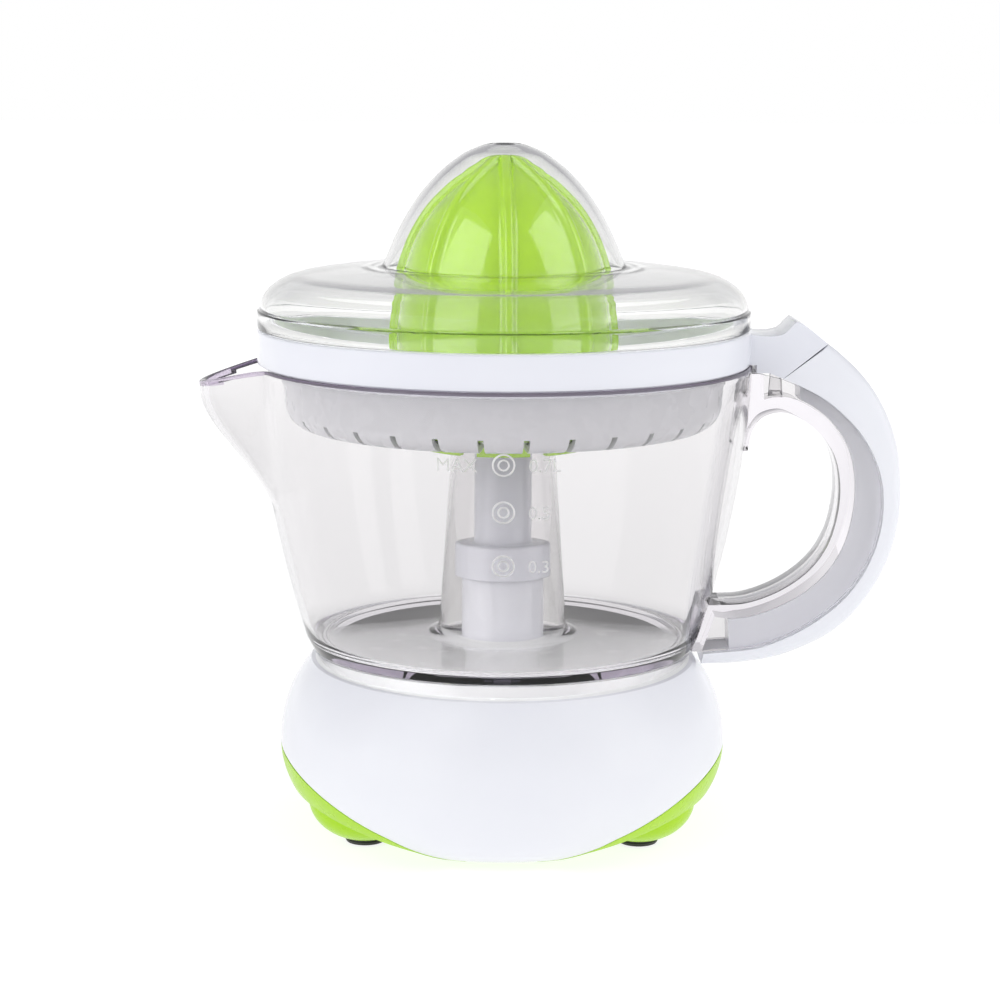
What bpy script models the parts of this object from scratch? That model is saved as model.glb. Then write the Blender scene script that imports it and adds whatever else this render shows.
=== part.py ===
"""Electric citrus press: motor base, clear jug, strainer with pulp disc, two cones and a clear lid.

Metres, +Z up, origin on the table in the middle of the footprint. The handle points to +X and the
spout to -X. Every piece is modelled about the drive axis and moved to AXIS_X at the end.
"""
import math

import bpy
import bmesh
from mathutils import Matrix, Vector

# ---------------------------------------------------------------- driving dimensions (metres)
GAP = 0.0003                    # clearance between pieces that touch or nest
AXIS_X = -0.01407               # the drive axis, from the middle of the footprint
STEPS = 28                      # facets round a large turned piece
WALL = 0.0022                   # moulded wall of jug and cups
PRESS = 0.0025                  # travel of the cones and spindle when fruit is pressed

# motor base
BASE_RADIUS = 0.0693            # widest radius of the base
BASE_WAIST = 0.0272             # height of the widest radius
BASE_SHOULDER_ARC = 0.0394      # radius of the arc above the waist
BASE_BELLY_ARC = 0.02625        # radius of the arc below the waist
BASE_LEDGE = 0.0534             # height of the ledge that the jug stands on
BASE_DECK = 0.0575              # top of the raised deck inside the jug's skirt
BASE_SKIN = 0.0024              # wall of both casings
CASING_EDGE = 0.0026            # height of the upper casing's bottom edge
TUB_RADIUS = 0.0506             # outer radius of the lower casing under the shelf
TUB_FLOOR = 0.0046              # underside of the lower casing
SHELF_HEIGHT = 0.0140           # underside of the lower casing's shelf
INNER_WALL_TOP = 0.0360         # top of the lower casing's wall inside the upper casing
ARCH_HALF_WIDTH = 0.0555        # side arches in the upper casing that the lower casing fills
ARCH_SPRING = 0.0040
ARCH_RISE = 0.0250
ARCH_POWER = 2.2
ARCH_FROM = 0.0220              # the arches start this far out from the middle plane
BAND_HALF_WIDTH = 0.0535        # lower edge of the flush lime band
BAND_SPRING = 0.0020
BAND_RISE = 0.0122
POD_X = 0.0417                  # pods and feet, from the axis
POD_Y = 0.0234
POD_RADIUS = 0.0173
POD_HEIGHT = 0.0132
POD_CENTRE = 0.0140
POD_FLAT = 0.0019               # height of the flat under a pod
FOOT_RADIUS = 0.0062
FOOT_TOP = 0.0036
GLAND_HEIGHT = 0.0220           # cord inlet at the back
GLAND_RADIUS = 0.0050
GLAND_BORE = 0.0026
GLAND_FLANGE = 0.0062

# drive tower and spindle
TOWER_RADIUS = 0.0125
TOWER_TOP = 0.0840
ROD_RADIUS = 0.0040             # hexagon steel rod, to its corners
HEX_TURN = math.radians(10)     # angle of one corner of every hexagon drive at rest
ROD_LOW = 0.0285
ROD_HIGH = 0.1040
COLLAR_RADIUS = 0.0078
COLLAR_LOW = 0.0700
BUSH_BORE = 0.00435
CAP_RADIUS = 0.0146             # drip cap of the spindle, over the tower
CAP_LOW = 0.0797
CAP_UNDER = 0.0880
CAP_TOP = 0.0900
SHAFT_RADIUS = 0.0088
SHAFT_TOP = 0.1370
TIP_RADIUS = 0.0062             # hexagon drive tip, to its corners
TIP_TOP = 0.1650
SPRING_RADIUS = 0.0062
SPRING_WIRE = 0.0006
SPRING_TURNS = 5

# gear train and gearbox
OUTPUT_TEETH = 40
PINION_TEETH = 9
WHEEL_TEETH = 40
OUTPUT_MODULE = 0.0012
WHEEL_MODULE = 0.00105
ROTOR_DIRECTION = math.radians(75)   # from the idler's pin to the rotor
GEARBOX_FLOOR = 0.0320
GEARBOX_PLATE = 0.0020
WHEEL_LOW = 0.0346
WHEEL_THICK = 0.0048
OUTPUT_LOW = 0.0402
OUTPUT_THICK = 0.0060
GEARBOX_WALL_TOP = 0.0484
GEARBOX_WALL = 0.0022
COVER_THICK = 0.0020
PIN_RADIUS = 0.0018
GEAR_CLEAR = 0.0016             # round each gear inside the gearbox

# motor
ROTOR_RADIUS = 0.0090
AIR_GAP = 0.0006
STACK_LOW = 0.0175
STACK_HIGH = 0.0295
LEG_WIDTH = 0.0090
LEG_OFFSET = 0.0127             # leg centre line from the rotor axis
POLE_LENGTH = 0.0125            # core beyond the rotor axis
CORE_LENGTH = 0.0510            # core from the rotor axis to the yoke's back
YOKE_WIDTH = 0.0090
COIL_THICK = 0.0021
COIL_LENGTH = 0.0190
COIL_START = 0.0200             # from the rotor axis
ROTOR_SHAFT = 0.0015
BRACKET_THICK = 0.0022

# fasteners
POST_RADIUS = 0.0032
POSTS = [(0.033, 0.030), (-0.033, -0.030), (0.033, -0.030)]
POST_LOW = 0.0095
SCREW_RADIUS = 0.00135
SCREW_HEAD = 0.0030
GEARBOX_BOSSES = [(0.0247, -0.0143), (0.0142, 0.0247), (-0.0388, 0.0242)]

# switch
SWITCH_HALF = (0.0100, 0.0032)
SWITCH_LOW = 0.0140
SWITCH_HIGH = 0.0240
BUTTON_RADIUS = 0.0018
BUTTON_LOW = 0.0210

# jug
JUG_RADIUS = 0.07575            # outer radius at the rim
JUG_RIM = 0.1451
JUG_LEAN = 0.00353              # straight part of the wall's inward lean to the foot
JUG_CURVE = 0.0131              # curved part of it
JUG_SPAN = 0.0900               # height over which both apply
JUG_FLOOR = 0.0609
SKIRT_LOW = 0.0539
SKIRT_RADIUS = 0.05725
COLUMN_FOOT = 0.0197            # outer radius of the column at the floor
COLUMN_HEAD = 0.0150
COLUMN_TOP = 0.1340
SPOUT_REACH = 0.0175
SPOUT_LOW = 0.1010              # where the spout starts to leave the wall
SPOUT_DIP = 0.0060
SPOUT_HALF_ANGLE = math.radians(25)
HANDLE_HALF_WIDTH = 0.0090
CHANNEL_HALF_WIDTH = 0.0066
CHANNEL_FLOOR = 0.0046
COVER_HALF_WIDTH = 0.0108

# strainer
RING_RADIUS = 0.0750
RING_TOP = 0.1556
RING_LOW = 0.1454
RING_INNER = 0.0712
BOWL_RADIUS = 0.0666
BOWL_FLOOR = 0.1260             # underside
BOWL_ROUND = 0.0065             # slope between the bowl's floor and wall
HUB_HEAD = 0.0186
HUB_TOP = 0.1424
HUB_HOLE = 0.0096
OPENING_INNER = 0.0244          # annular opening that the disc's collar passes
OPENING_OUTER = 0.0282
SLOTS = 32
SLOT_WIDTH = 0.0017
SLOT_FROM = 0.0390
SLOT_HIGH = 0.1315
SPOKES = 8
SPOKE_WIDTH = 0.0016
DISC_TURN = math.radians(360 / SLOTS / 2)
DISC_LOW = 0.1286
DISC_THICK = 0.0018
DISC_RADIUS = 0.0605
DISC_RIM = 0.1345
COLLAR_INNER = 0.0250
COLLAR_OUTER = 0.0275
COLLAR_BOTTOM = 0.1197
COLLAR_GAP = math.radians(11.5)

# cones
CONE_TOP = 0.2081
CONE_RADIUS = 0.0346            # at the top of the straight skirt
CONE_DOME = 0.0420              # height of the domed part
CONE_FLARE = 0.0010             # how much the skirt widens below the dome
CONE_LOW = 0.1474
CONE_SKIN = 0.0018
CONE_FLANGE = 0.0460
RIBS = 8
RIB_HEIGHT = 0.0012
RIB_WIDTH = 0.0020
SMALL_TOP = 0.1880
SMALL_RADIUS = 0.0235
SMALL_DOME = 0.0300
SMALL_FLANGE = 0.0300
SMALL_LOW = 0.1472

# lid
LID_RADIUS = 0.0749
LID_TOP = 0.2113
LID_LOW = 0.1559
LID_SKIN = 0.0018
LID_SEAM = 0.0380               # radius where the peak meets the shoulder
LID_SEAM_HEIGHT = 0.1744
LID_SHOULDER = 0.0637
LID_SHOULDER_HEIGHT = 0.1720
LID_ROUND = 0.0112

PARTS_NAME = "citrus_press"


# ---------------------------------------------------------------- scene and materials
def clear_scene():
    for obj in list(bpy.data.objects):
        bpy.data.objects.remove(obj, do_unlink=True)


def new_collection(name):
    collection = bpy.data.collections.new(name)
    bpy.context.scene.collection.children.link(collection)
    return collection


def material(name, colour, roughness=0.4, metallic=0.0, alpha=1.0):
    mat = bpy.data.materials.new(name)
    mat.use_nodes = True
    shader = mat.node_tree.nodes["Principled BSDF"]
    shader.inputs["Base Color"].default_value = (*colour, 1.0)
    shader.inputs["Roughness"].default_value = roughness
    shader.inputs["Metallic"].default_value = metallic
    shader.inputs["Alpha"].default_value = alpha
    mat.diffuse_color = (*colour, alpha)
    return mat


def add_object(name, mesh, mat=None):
    """A part when it has a material, otherwise a cutter."""
    obj = bpy.data.objects.new(name, mesh)
    if mat is None:
        CUTTERS.objects.link(obj)
        obj.hide_render = True
        obj.display_type = "WIRE"
    else:
        PARTS.objects.link(obj)
        obj.data.materials.append(mat)
    return obj


# ---------------------------------------------------------------- shapes
def arc(centre_r, centre_z, radius, start, end, pieces):
    """Points on an arc, angles in degrees from +X towards +Z."""
    angles = [math.radians(start + (end - start) * i / pieces) for i in range(pieces + 1)]
    return [(centre_r + radius * math.cos(a), centre_z + radius * math.sin(a)) for a in angles]


def offset(points, distance):
    """The open line moved sideways, to the right of its direction for a positive distance."""
    moved = []
    for i, point in enumerate(points):
        before = Vector(points[max(i - 1, 0)])
        after = Vector(points[min(i + 1, len(points) - 1)])
        along = (after - before).normalized()
        moved.append((point[0] + along.y * distance, point[1] - along.x * distance))
    return moved


def smooth_line(points, pieces=4):
    """A Catmull-Rom line through the points."""
    knots = [Vector(p) for p in points]
    knots = [2 * knots[0] - knots[1]] + knots + [2 * knots[-1] - knots[-2]]
    line = []
    for i in range(1, len(knots) - 2):
        a, b, c, d = knots[i - 1:i + 3]
        for j in range(pieces):
            t = j / pieces
            line.append(0.5 * (2 * b + (c - a) * t + (2 * a - 5 * b + 4 * c - d) * t * t
                               + (3 * b - 3 * c + d - a) * t ** 3))
    line.append(knots[-2])
    return [tuple(p) for p in line]


def turned(name, profile, mat=None, steps=STEPS, at=(0.0, 0.0)):
    """A solid turned about Z from (radius, height) points whose outer side runs downwards."""
    mesh = bpy.data.meshes.new(name)
    edges = [(i, i + 1) for i in range(len(profile) - 1)]
    if profile[0][0] > 0:
        edges.append((len(profile) - 1, 0))
    mesh.from_pydata([(r, 0.0, z) for r, z in profile], edges, [])
    obj = add_object(name, mesh, mat)
    obj.location = (at[0], at[1], 0.0)
    screw = obj.modifiers.new("Turn", "SCREW")
    screw.steps = steps
    screw.render_steps = steps
    screw.use_merge_vertices = True
    screw.merge_threshold = 0.00001
    return obj


def tube_profile(inner, outer, low, high):
    return [(inner, high), (outer, high), (outer, low), (inner, low)]


def cylinder(name, radius, low, high, at=(0.0, 0.0), mat=None, sides=20, turn=0.0):
    mesh = bpy.data.meshes.new(name)
    shape = bmesh.new()
    bmesh.ops.create_cone(shape, cap_ends=True, segments=sides, radius1=radius, radius2=radius,
                          depth=high - low)
    bmesh.ops.rotate(shape, verts=shape.verts, matrix=Matrix.Rotation(turn, 3, "Z"))
    bmesh.ops.translate(shape, verts=shape.verts, vec=(at[0], at[1], (low + high) / 2))
    shape.to_mesh(mesh)
    shape.free()
    return add_object(name, mesh, mat)


def add_box(shape, low, high, matrix=Matrix.Identity(4)):
    centre = [(a + b) / 2 for a, b in zip(low, high)]
    size = [b - a for a, b in zip(low, high)]
    placed = matrix @ Matrix.Translation(centre) @ Matrix.Diagonal((*size, 1.0))
    bmesh.ops.create_cube(shape, size=1.0, matrix=placed)


def box(name, low, high, mat=None):
    mesh = bpy.data.meshes.new(name)
    shape = bmesh.new()
    add_box(shape, low, high)
    shape.to_mesh(mesh)
    shape.free()
    return add_object(name, mesh, mat)


def radial_boxes(name, count, first, inner, outer, width, low, high):
    """Cutter or spokes: equal boxes set round the axis, the first at the given angle."""
    mesh = bpy.data.meshes.new(name)
    shape = bmesh.new()
    for i in range(count):
        turn = Matrix.Rotation(first + 2 * math.pi * i / count, 4, "Z")
        add_box(shape, (inner, -width / 2, low), (outer, width / 2, high), turn)
    shape.to_mesh(mesh)
    shape.free()
    return add_object(name, mesh)


def as_mesh(obj, mat=None):
    """Replace a curve or modified object by its welded, evaluated mesh in place."""
    bpy.context.view_layer.update()
    evaluated = obj.evaluated_get(bpy.context.evaluated_depsgraph_get())
    mesh = bpy.data.meshes.new_from_object(evaluated)
    mesh.materials.clear()
    shape = bmesh.new()
    shape.from_mesh(mesh)
    bmesh.ops.remove_doubles(shape, verts=shape.verts, dist=0.000005)
    bmesh.ops.recalc_face_normals(shape, faces=shape.faces)
    shape.to_mesh(mesh)
    shape.free()
    name = obj.name
    matrix = obj.matrix_world.copy()
    bpy.data.objects.remove(obj, do_unlink=True)
    mesh.name = name
    made = add_object(name, mesh, mat)
    made.matrix_world = matrix
    return made


def extruded(name, outlines, half_depth, matrix, mat=None):
    """Flat closed outlines (later ones are holes) given a thickness, as a mesh."""
    curve = bpy.data.curves.new(name, "CURVE")
    curve.dimensions = "2D"
    curve.fill_mode = "BOTH"
    curve.extrude = half_depth
    for outline in outlines:
        spline = curve.splines.new("POLY")
        spline.points.add(len(outline) - 1)
        for point, (x, y) in zip(spline.points, outline):
            point.co = (x, y, 0.0, 1.0)
        spline.use_cyclic_u = True
    obj = add_object(name, curve)
    obj.matrix_world = matrix
    return as_mesh(obj, mat)


def boolean(obj, other, operation):
    step = obj.modifiers.new(operation.title(), "BOOLEAN")
    step.operation = operation
    step.solver = "EXACT"
    step.object = other


def cut(obj, *others):
    for other in others:
        boolean(obj, other, "DIFFERENCE")


def join(obj, *others):
    for other in others:
        boolean(obj, other, "UNION")


UPRIGHT = Matrix.Rotation(math.pi / 2, 4, "X")       # outline (x, z) stands in the XZ plane
SIDEWAYS = Matrix.Rotation(math.pi / 2, 4, "Z") @ UPRIGHT   # outline (y, z), thickness along X


# ---------------------------------------------------------------- base casings
def belly_radius(z, inset=0.0):
    """Radius of the base's outside below its waist, less an inset wall."""
    reach = BASE_BELLY_ARC - inset
    return BASE_RADIUS - BASE_BELLY_ARC + math.sqrt(reach ** 2 - (z - BASE_WAIST) ** 2)


def shoulder_radius(z, inset=0.0):
    reach = BASE_SHOULDER_ARC - inset
    return BASE_RADIUS - BASE_SHOULDER_ARC + math.sqrt(reach ** 2 - (z - BASE_WAIST) ** 2)


def base_side(top, bottom, inset, pieces=(4, 5)):
    """The base's side as (radius, height) points from top to bottom, moved in by inset."""
    upper = [top + (BASE_WAIST - top) * i / pieces[0] for i in range(pieces[0])]
    lower = [BASE_WAIST + (bottom - BASE_WAIST) * i / pieces[1] for i in range(pieces[1] + 1)]
    return ([(shoulder_radius(z, inset), z) for z in upper]
            + [(belly_radius(z, inset), z) for z in lower])


def superellipse(half_width, spring, rise, power, floor, grow=0.0):
    """An arch outline (y, z): flat under the springing, rounded above it."""
    width = half_width + grow
    points = [(-width, floor)]
    for i in range(13):
        a = math.pi * (1 - i / 12)
        y = width * math.copysign(abs(math.cos(a)) ** (2 / power), math.cos(a))
        points.append((y, spring + (rise + grow) * abs(math.sin(a)) ** (2 / power)))
    return points + [(width, floor)]


def side_arches(name, grow, from_x):
    """Two arch-shaped blocks, one through each side of the base."""
    outline = superellipse(ARCH_HALF_WIDTH, ARCH_SPRING, ARCH_RISE, ARCH_POWER, -0.01, grow)
    depth = BASE_RADIUS + 0.005 - from_x
    return [extruded(f"{name}_{side}", [outline], depth / 2,
                     Matrix.Translation((sign * (from_x + depth / 2), 0, 0)) @ SIDEWAYS)
            for side, sign in (("right", 1), ("left", -1))]


def gland_hole(name):
    hole = cylinder(name, GLAND_RADIUS + GAP, -0.03, 0.03)
    hole.matrix_world = Matrix.Translation((0, BASE_RADIUS - 0.005, GLAND_HEIGHT)) @ UPRIGHT
    return hole


def upper_casing():
    under_deck = BASE_DECK - BASE_SKIN
    skirt_clear = SKIRT_RADIUS - WALL - 2 * GAP
    deck_edge = BASE_LEDGE - BASE_SKIN
    edge_inner = CASING_EDGE + 0.0023
    profile = [(0.0070, TOWER_TOP), (TOWER_RADIUS - 0.001, TOWER_TOP), (TOWER_RADIUS, TOWER_TOP - 0.001),
               (TOWER_RADIUS, BASE_DECK + 0.003), (TOWER_RADIUS + 0.003, BASE_DECK),
               (skirt_clear, BASE_DECK), (skirt_clear + 0.0003, BASE_LEDGE),
               (shoulder_radius(BASE_LEDGE) - 0.0006, BASE_LEDGE)]
    profile += base_side(BASE_LEDGE - 0.0008, CASING_EDGE, 0.0)
    profile += base_side(deck_edge, edge_inner, BASE_SKIN)[::-1]
    profile += [(skirt_clear - BASE_SKIN, deck_edge), (skirt_clear - BASE_SKIN, under_deck),
                (TOWER_RADIUS + 0.002, under_deck),
                (TOWER_RADIUS - BASE_SKIN, under_deck + 0.002),
                (TOWER_RADIUS - BASE_SKIN, TOWER_TOP - BASE_SKIN), (0.0070, TOWER_TOP - BASE_SKIN)]
    casing = turned("upper_casing", profile, WHITE)
    for i, at in enumerate(POSTS):
        join(casing, cylinder(f"casing_post_{i}", POST_RADIUS, POST_LOW, under_deck + 0.001, at, sides=8))
    boss_low = GEARBOX_WALL_TOP + COVER_THICK + 2 * GAP
    for i, at in enumerate(GEARBOX_BOSSES):
        join(casing, cylinder(f"deck_boss_{i}", POST_RADIUS, boss_low, under_deck + 0.001, at, sides=8))
    cut(casing, *side_arches("arch", 0.0, ARCH_FROM))
    cut(casing, gland_hole("gland_hole_upper"))
    for i, at in enumerate(POSTS):
        cut(casing, cylinder(f"post_bore_{i}", SCREW_RADIUS + GAP, POST_LOW - 0.002, 0.024, at, sides=8))
    for i, at in enumerate(GEARBOX_BOSSES):
        cut(casing, cylinder(f"boss_bore_{i}", SCREW_RADIUS + GAP, boss_low - 0.002, BASE_DECK - 0.0012,
                             at, sides=8))
    return casing


def lower_casing():
    """Tub with a shelf, an inner wall, two flush side bands and four pods for the feet."""
    inset = BASE_SKIN + 0.0004
    outer_wall = base_side(INNER_WALL_TOP, SHELF_HEIGHT, inset, (2, 3))
    tub = turned("lower_casing", [(0.0, INNER_WALL_TOP)] + outer_wall
                 + [(TUB_RADIUS, SHELF_HEIGHT), (TUB_RADIUS, TUB_FLOOR), (0.0, TUB_FLOOR)], LIME)
    band_low = 0.0060
    band = turned("band_body", [(0.0, BASE_WAIST + 0.006)]
                  + base_side(BASE_WAIST + 0.006, band_low, 0.0, (2, 6)) + [(0.0, band_low)])
    arches = extruded("band_arch", [superellipse(ARCH_HALF_WIDTH, ARCH_SPRING, ARCH_RISE, ARCH_POWER,
                                                 -0.01, -0.0004)], 0.1, SIDEWAYS)
    boolean(band, arches, "INTERSECT")
    cut(band, extruded("band_lower_edge", [superellipse(BAND_HALF_WIDTH, BAND_SPRING, BAND_RISE, 2.6,
                                                        -0.01)], 0.1, SIDEWAYS))
    cut(band, box("band_middle", (-ARCH_FROM - 0.0004, -0.1, -0.01), (ARCH_FROM + 0.0004, 0.1, 0.06)))
    join(tub, band)
    for name, x, y in pod_places():
        join(tub, pod(name, x, y))
    cavity_wall = base_side(INNER_WALL_TOP + 0.004, SHELF_HEIGHT + BASE_SKIN, inset + BASE_SKIN, (2, 3))
    floor = TUB_FLOOR + BASE_SKIN
    cut(tub, turned("tub_cavity", [(0.0, INNER_WALL_TOP + 0.004)] + cavity_wall
                    + [(TUB_RADIUS - BASE_SKIN, SHELF_HEIGHT + BASE_SKIN),
                       (TUB_RADIUS - BASE_SKIN, floor), (0.0, floor)]))
    pillar = box("switch_pillar", (-SWITCH_HALF[0] + 0.001, -SWITCH_HALF[1], floor - 0.001),
                 (SWITCH_HALF[0] - 0.001, SWITCH_HALF[1], SWITCH_LOW - GAP))
    join(tub, pillar)
    for i, at in enumerate(POSTS):
        join(tub, cylinder(f"floor_pad_{i}", 0.0050, floor - 0.001, POST_LOW - GAP, at, sides=8))
        cut(tub, cylinder(f"floor_hole_{i}", SCREW_RADIUS + GAP, 0.0, POST_LOW + 0.002, at, sides=8),
            cylinder(f"head_recess_{i}", SCREW_HEAD + GAP, 0.0, TUB_FLOOR + 0.0022, at, sides=8))
    for name, x, y in pod_places():
        cut(tub, cylinder(f"{name}_recess", FOOT_RADIUS + GAP, -0.002, FOOT_TOP + GAP, (x, y), sides=12))
    cut(tub, gland_hole("gland_hole_lower"))
    return tub


def pod_places():
    return [(f"{end}_{side}", sx * POD_X, sy * POD_Y)
            for end, sy in (("front", -1), ("rear", 1)) for side, sx in (("left", -1), ("right", 1))]


def pod(name, x, y):
    """A rounded lump, flat underneath, that carries a foot."""
    mesh = bpy.data.meshes.new(f"pod_{name}")
    shape = bmesh.new()
    bmesh.ops.create_uvsphere(shape, u_segments=16, v_segments=8, radius=1.0)
    bmesh.ops.transform(shape, verts=shape.verts, matrix=Matrix.Translation((x, y, POD_CENTRE))
                        @ Matrix.Diagonal((POD_RADIUS, POD_RADIUS, POD_HEIGHT, 1.0)))
    flat = bmesh.ops.bisect_plane(shape, geom=shape.verts[:] + shape.edges[:] + shape.faces[:],
                                  plane_co=(0, 0, POD_FLAT), plane_no=(0, 0, -1), clear_outer=True)
    bmesh.ops.edgeloop_fill(shape, edges=[e for e in flat["geom_cut"] if isinstance(e, bmesh.types.BMEdge)])
    bmesh.ops.recalc_face_normals(shape, faces=shape.faces)
    shape.to_mesh(mesh)
    shape.free()
    return add_object(f"pod_{name}", mesh)


def feet():
    for name, x, y in pod_places():
        turned(f"foot_{name}", [(0.0, FOOT_TOP), (FOOT_RADIUS, FOOT_TOP), (FOOT_RADIUS, 0.0006),
                                (FOOT_RADIUS - 0.0006, 0.0), (0.0, 0.0)], RUBBER, 16, (x, y))


def cord_gland():
    seat = BASE_RADIUS + GAP
    gland = turned("cord_gland", [(GLAND_BORE, seat + 0.0016), (GLAND_FLANGE - 0.0006, seat + 0.0016),
                                  (GLAND_FLANGE, seat + 0.001), (GLAND_FLANGE, seat),
                                  (GLAND_RADIUS, seat), (GLAND_RADIUS, 0.059), (GLAND_BORE, 0.059)],
                   RUBBER, 16)
    gland.matrix_world = Matrix.Translation((0, 0, GLAND_HEIGHT)) @ Matrix.Rotation(-math.pi / 2, 4, "X")


def screw(name, at, head_low, tip):
    """A pan-head screw that points up, its head underneath."""
    neck = head_low + 0.0014
    turned(name, [(0.0, tip), (SCREW_RADIUS * 0.5, tip), (SCREW_RADIUS, tip - 0.001), (SCREW_RADIUS, neck),
                  (SCREW_HEAD, neck), (SCREW_HEAD, head_low + 0.0004), (SCREW_HEAD - 0.0006, head_low),
                  (0.0, head_low)], STEEL, 8, at)


# ---------------------------------------------------------------- gear train
def gear_outline(teeth, module, phase=0.0):
    """Straight-flanked teeth; phase is the angle of the first tooth's middle."""
    pitch = teeth * module / 2
    levels = ((-0.30, -1.15), (-0.10, 0.75), (0.10, 0.75), (0.30, -1.15))
    points = []
    for i in range(teeth):
        for share, height in levels:
            a = phase + 2 * math.pi * (i + share) / teeth
            r = pitch + height * module
            points.append((r * math.cos(a), r * math.sin(a)))
    return points


def gear(name, teeth, module, low, thick, phase=0.0, at=(0.0, 0.0), mat=None):
    return extruded(name, [gear_outline(teeth, module, phase)], thick / 2,
                    Matrix.Translation((at[0], at[1], low + thick / 2)), mat)


def idler_place():
    return (-(OUTPUT_TEETH + PINION_TEETH) * OUTPUT_MODULE / 2, 0.0)


def rotor_place():
    reach = (WHEEL_TEETH + PINION_TEETH) * WHEEL_MODULE / 2
    x, y = idler_place()
    return (x + reach * math.cos(ROTOR_DIRECTION), y + reach * math.sin(ROTOR_DIRECTION))


def output_gear():
    """Keyed on the hexagon rod, which slides through its hub."""
    made = gear("output_gear", OUTPUT_TEETH, OUTPUT_MODULE, OUTPUT_LOW, OUTPUT_THICK, mat=NYLON)
    join(made, cylinder("output_hub", 0.0075, GEARBOX_FLOOR + GEARBOX_PLATE + GAP,
                        OUTPUT_LOW + OUTPUT_THICK + 0.001))
    cut(made, cylinder("output_bore", ROD_RADIUS + GAP, 0.03, 0.06, sides=6, turn=HEX_TURN))
    return made


def idler_gear():
    at = idler_place()
    made = gear("idler_gear", WHEEL_TEETH, WHEEL_MODULE, WHEEL_LOW, WHEEL_THICK, ROTOR_DIRECTION, at, NYLON)
    pinion = gear("idler_pinion", PINION_TEETH, OUTPUT_MODULE, WHEEL_LOW + WHEEL_THICK - 0.001,
                  OUTPUT_LOW + OUTPUT_THICK + 0.001 - WHEEL_LOW - WHEEL_THICK + 0.001,
                  math.pi / PINION_TEETH, at)
    join(made, pinion)
    cut(made, cylinder("idler_bore", PIN_RADIUS + GAP, 0.03, 0.06, at, sides=16))
    return made


def idler_pin():
    cylinder("idler_pin", PIN_RADIUS, GEARBOX_FLOOR + 0.0005, GEARBOX_WALL_TOP + COVER_THICK,
             idler_place(), STEEL, 12)


def rotor_assembly():
    at = rotor_place()
    magnet = tube_profile(ROTOR_SHAFT + GAP, ROTOR_RADIUS, STACK_LOW, STACK_HIGH)
    turned("magnet_rotor", magnet, FERRITE, 16, at)
    turned("rotor_shaft", [(0.0, GEARBOX_WALL_TOP - 0.004), (ROTOR_SHAFT, GEARBOX_WALL_TOP - 0.004),
                           (ROTOR_SHAFT, STACK_LOW - 0.0035), (0.0, STACK_LOW - 0.0035)], STEEL, 12, at)
    pinion = gear("rotor_pinion", PINION_TEETH, WHEEL_MODULE, WHEEL_LOW, WHEEL_THICK + 0.001,
                  ROTOR_DIRECTION + math.pi + math.pi / PINION_TEETH, at, BRASS)
    cut(pinion, cylinder("pinion_bore", ROTOR_SHAFT + GAP, 0.03, 0.05, at, sides=8))


def gearbox_outline(name, spare, low, high, sides=20):
    """Rings round the two gears and the motor pinion, merged into one block."""
    tip = 0.75
    output = OUTPUT_MODULE * (OUTPUT_TEETH / 2 + tip) + spare
    wheel = WHEEL_MODULE * (WHEEL_TEETH / 2 + tip) + spare
    pinion = WHEEL_MODULE * (PINION_TEETH / 2 + tip) + spare
    block = cylinder(name, output, low, high, sides=sides)
    join(block, cylinder(f"{name}_wheel", wheel, low, high, idler_place(), sides=sides),
         cylinder(f"{name}_pinion", pinion, low, high, rotor_place(), sides=16))
    return block


def gearbox():
    """Open housing with a motor plate, and its flat cover."""
    plate_top = GEARBOX_FLOOR + GEARBOX_PLATE
    x, y = rotor_place()
    housing = gearbox_outline("gearbox_outer", GEAR_CLEAR + GEARBOX_WALL, GEARBOX_FLOOR, GEARBOX_WALL_TOP)
    housing = as_mesh(housing, BLACK)
    housing.name = "gearbox_housing"
    plate = box("motor_plate", (x - POLE_LENGTH, y - LEG_OFFSET - LEG_WIDTH / 2, GEARBOX_FLOOR),
                (x + CORE_LENGTH, y + LEG_OFFSET + LEG_WIDTH / 2, plate_top))
    join(housing, plate)
    for i, at in enumerate(GEARBOX_BOSSES):
        join(housing, cylinder(f"housing_boss_{i}", POST_RADIUS, GEARBOX_FLOOR, GEARBOX_WALL_TOP, at,
                               sides=8))
    cut(housing, gearbox_outline("gearbox_hollow", GEAR_CLEAR, plate_top, 0.06))
    cut(housing, cylinder("lower_bush_seat", 0.0062 + GAP, 0.03, 0.04, sides=16),
        cylinder("housing_pin_hole", PIN_RADIUS + GAP, 0.03, 0.04, idler_place(), sides=12),
        cylinder("shaft_hole", ROTOR_SHAFT + 2 * GAP, 0.03, 0.04, (x, y), sides=12))
    cover = gearbox_outline("cover_outer", GEAR_CLEAR + GEARBOX_WALL, GEARBOX_WALL_TOP + GAP,
                            GEARBOX_WALL_TOP + COVER_THICK)
    cover = as_mesh(cover, BLACK)
    cover.name = "gearbox_cover"
    for i, at in enumerate(GEARBOX_BOSSES):
        join(cover, cylinder(f"cover_boss_{i}", POST_RADIUS, GEARBOX_WALL_TOP + GAP,
                             GEARBOX_WALL_TOP + COVER_THICK, at, sides=8))
    cut(cover, cylinder("cover_rod_hole", ROD_RADIUS + 2 * GAP, 0.045, 0.06, sides=16),
        cylinder("cover_pin_hole", PIN_RADIUS + GAP, 0.045, 0.06, idler_place(), sides=12))
    for i, at in enumerate(GEARBOX_BOSSES):
        cut(housing, cylinder(f"housing_bore_{i}", SCREW_RADIUS + GAP, 0.03, 0.055, at, sides=8))
        cut(cover, cylinder(f"cover_bore_{i}", SCREW_RADIUS + GAP, 0.045, 0.06, at, sides=8))
    for i, at in enumerate(motor_screws()):
        cut(housing, cylinder(f"motor_bore_{i}", SCREW_RADIUS + GAP, 0.03, 0.036, at, sides=8))


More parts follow.
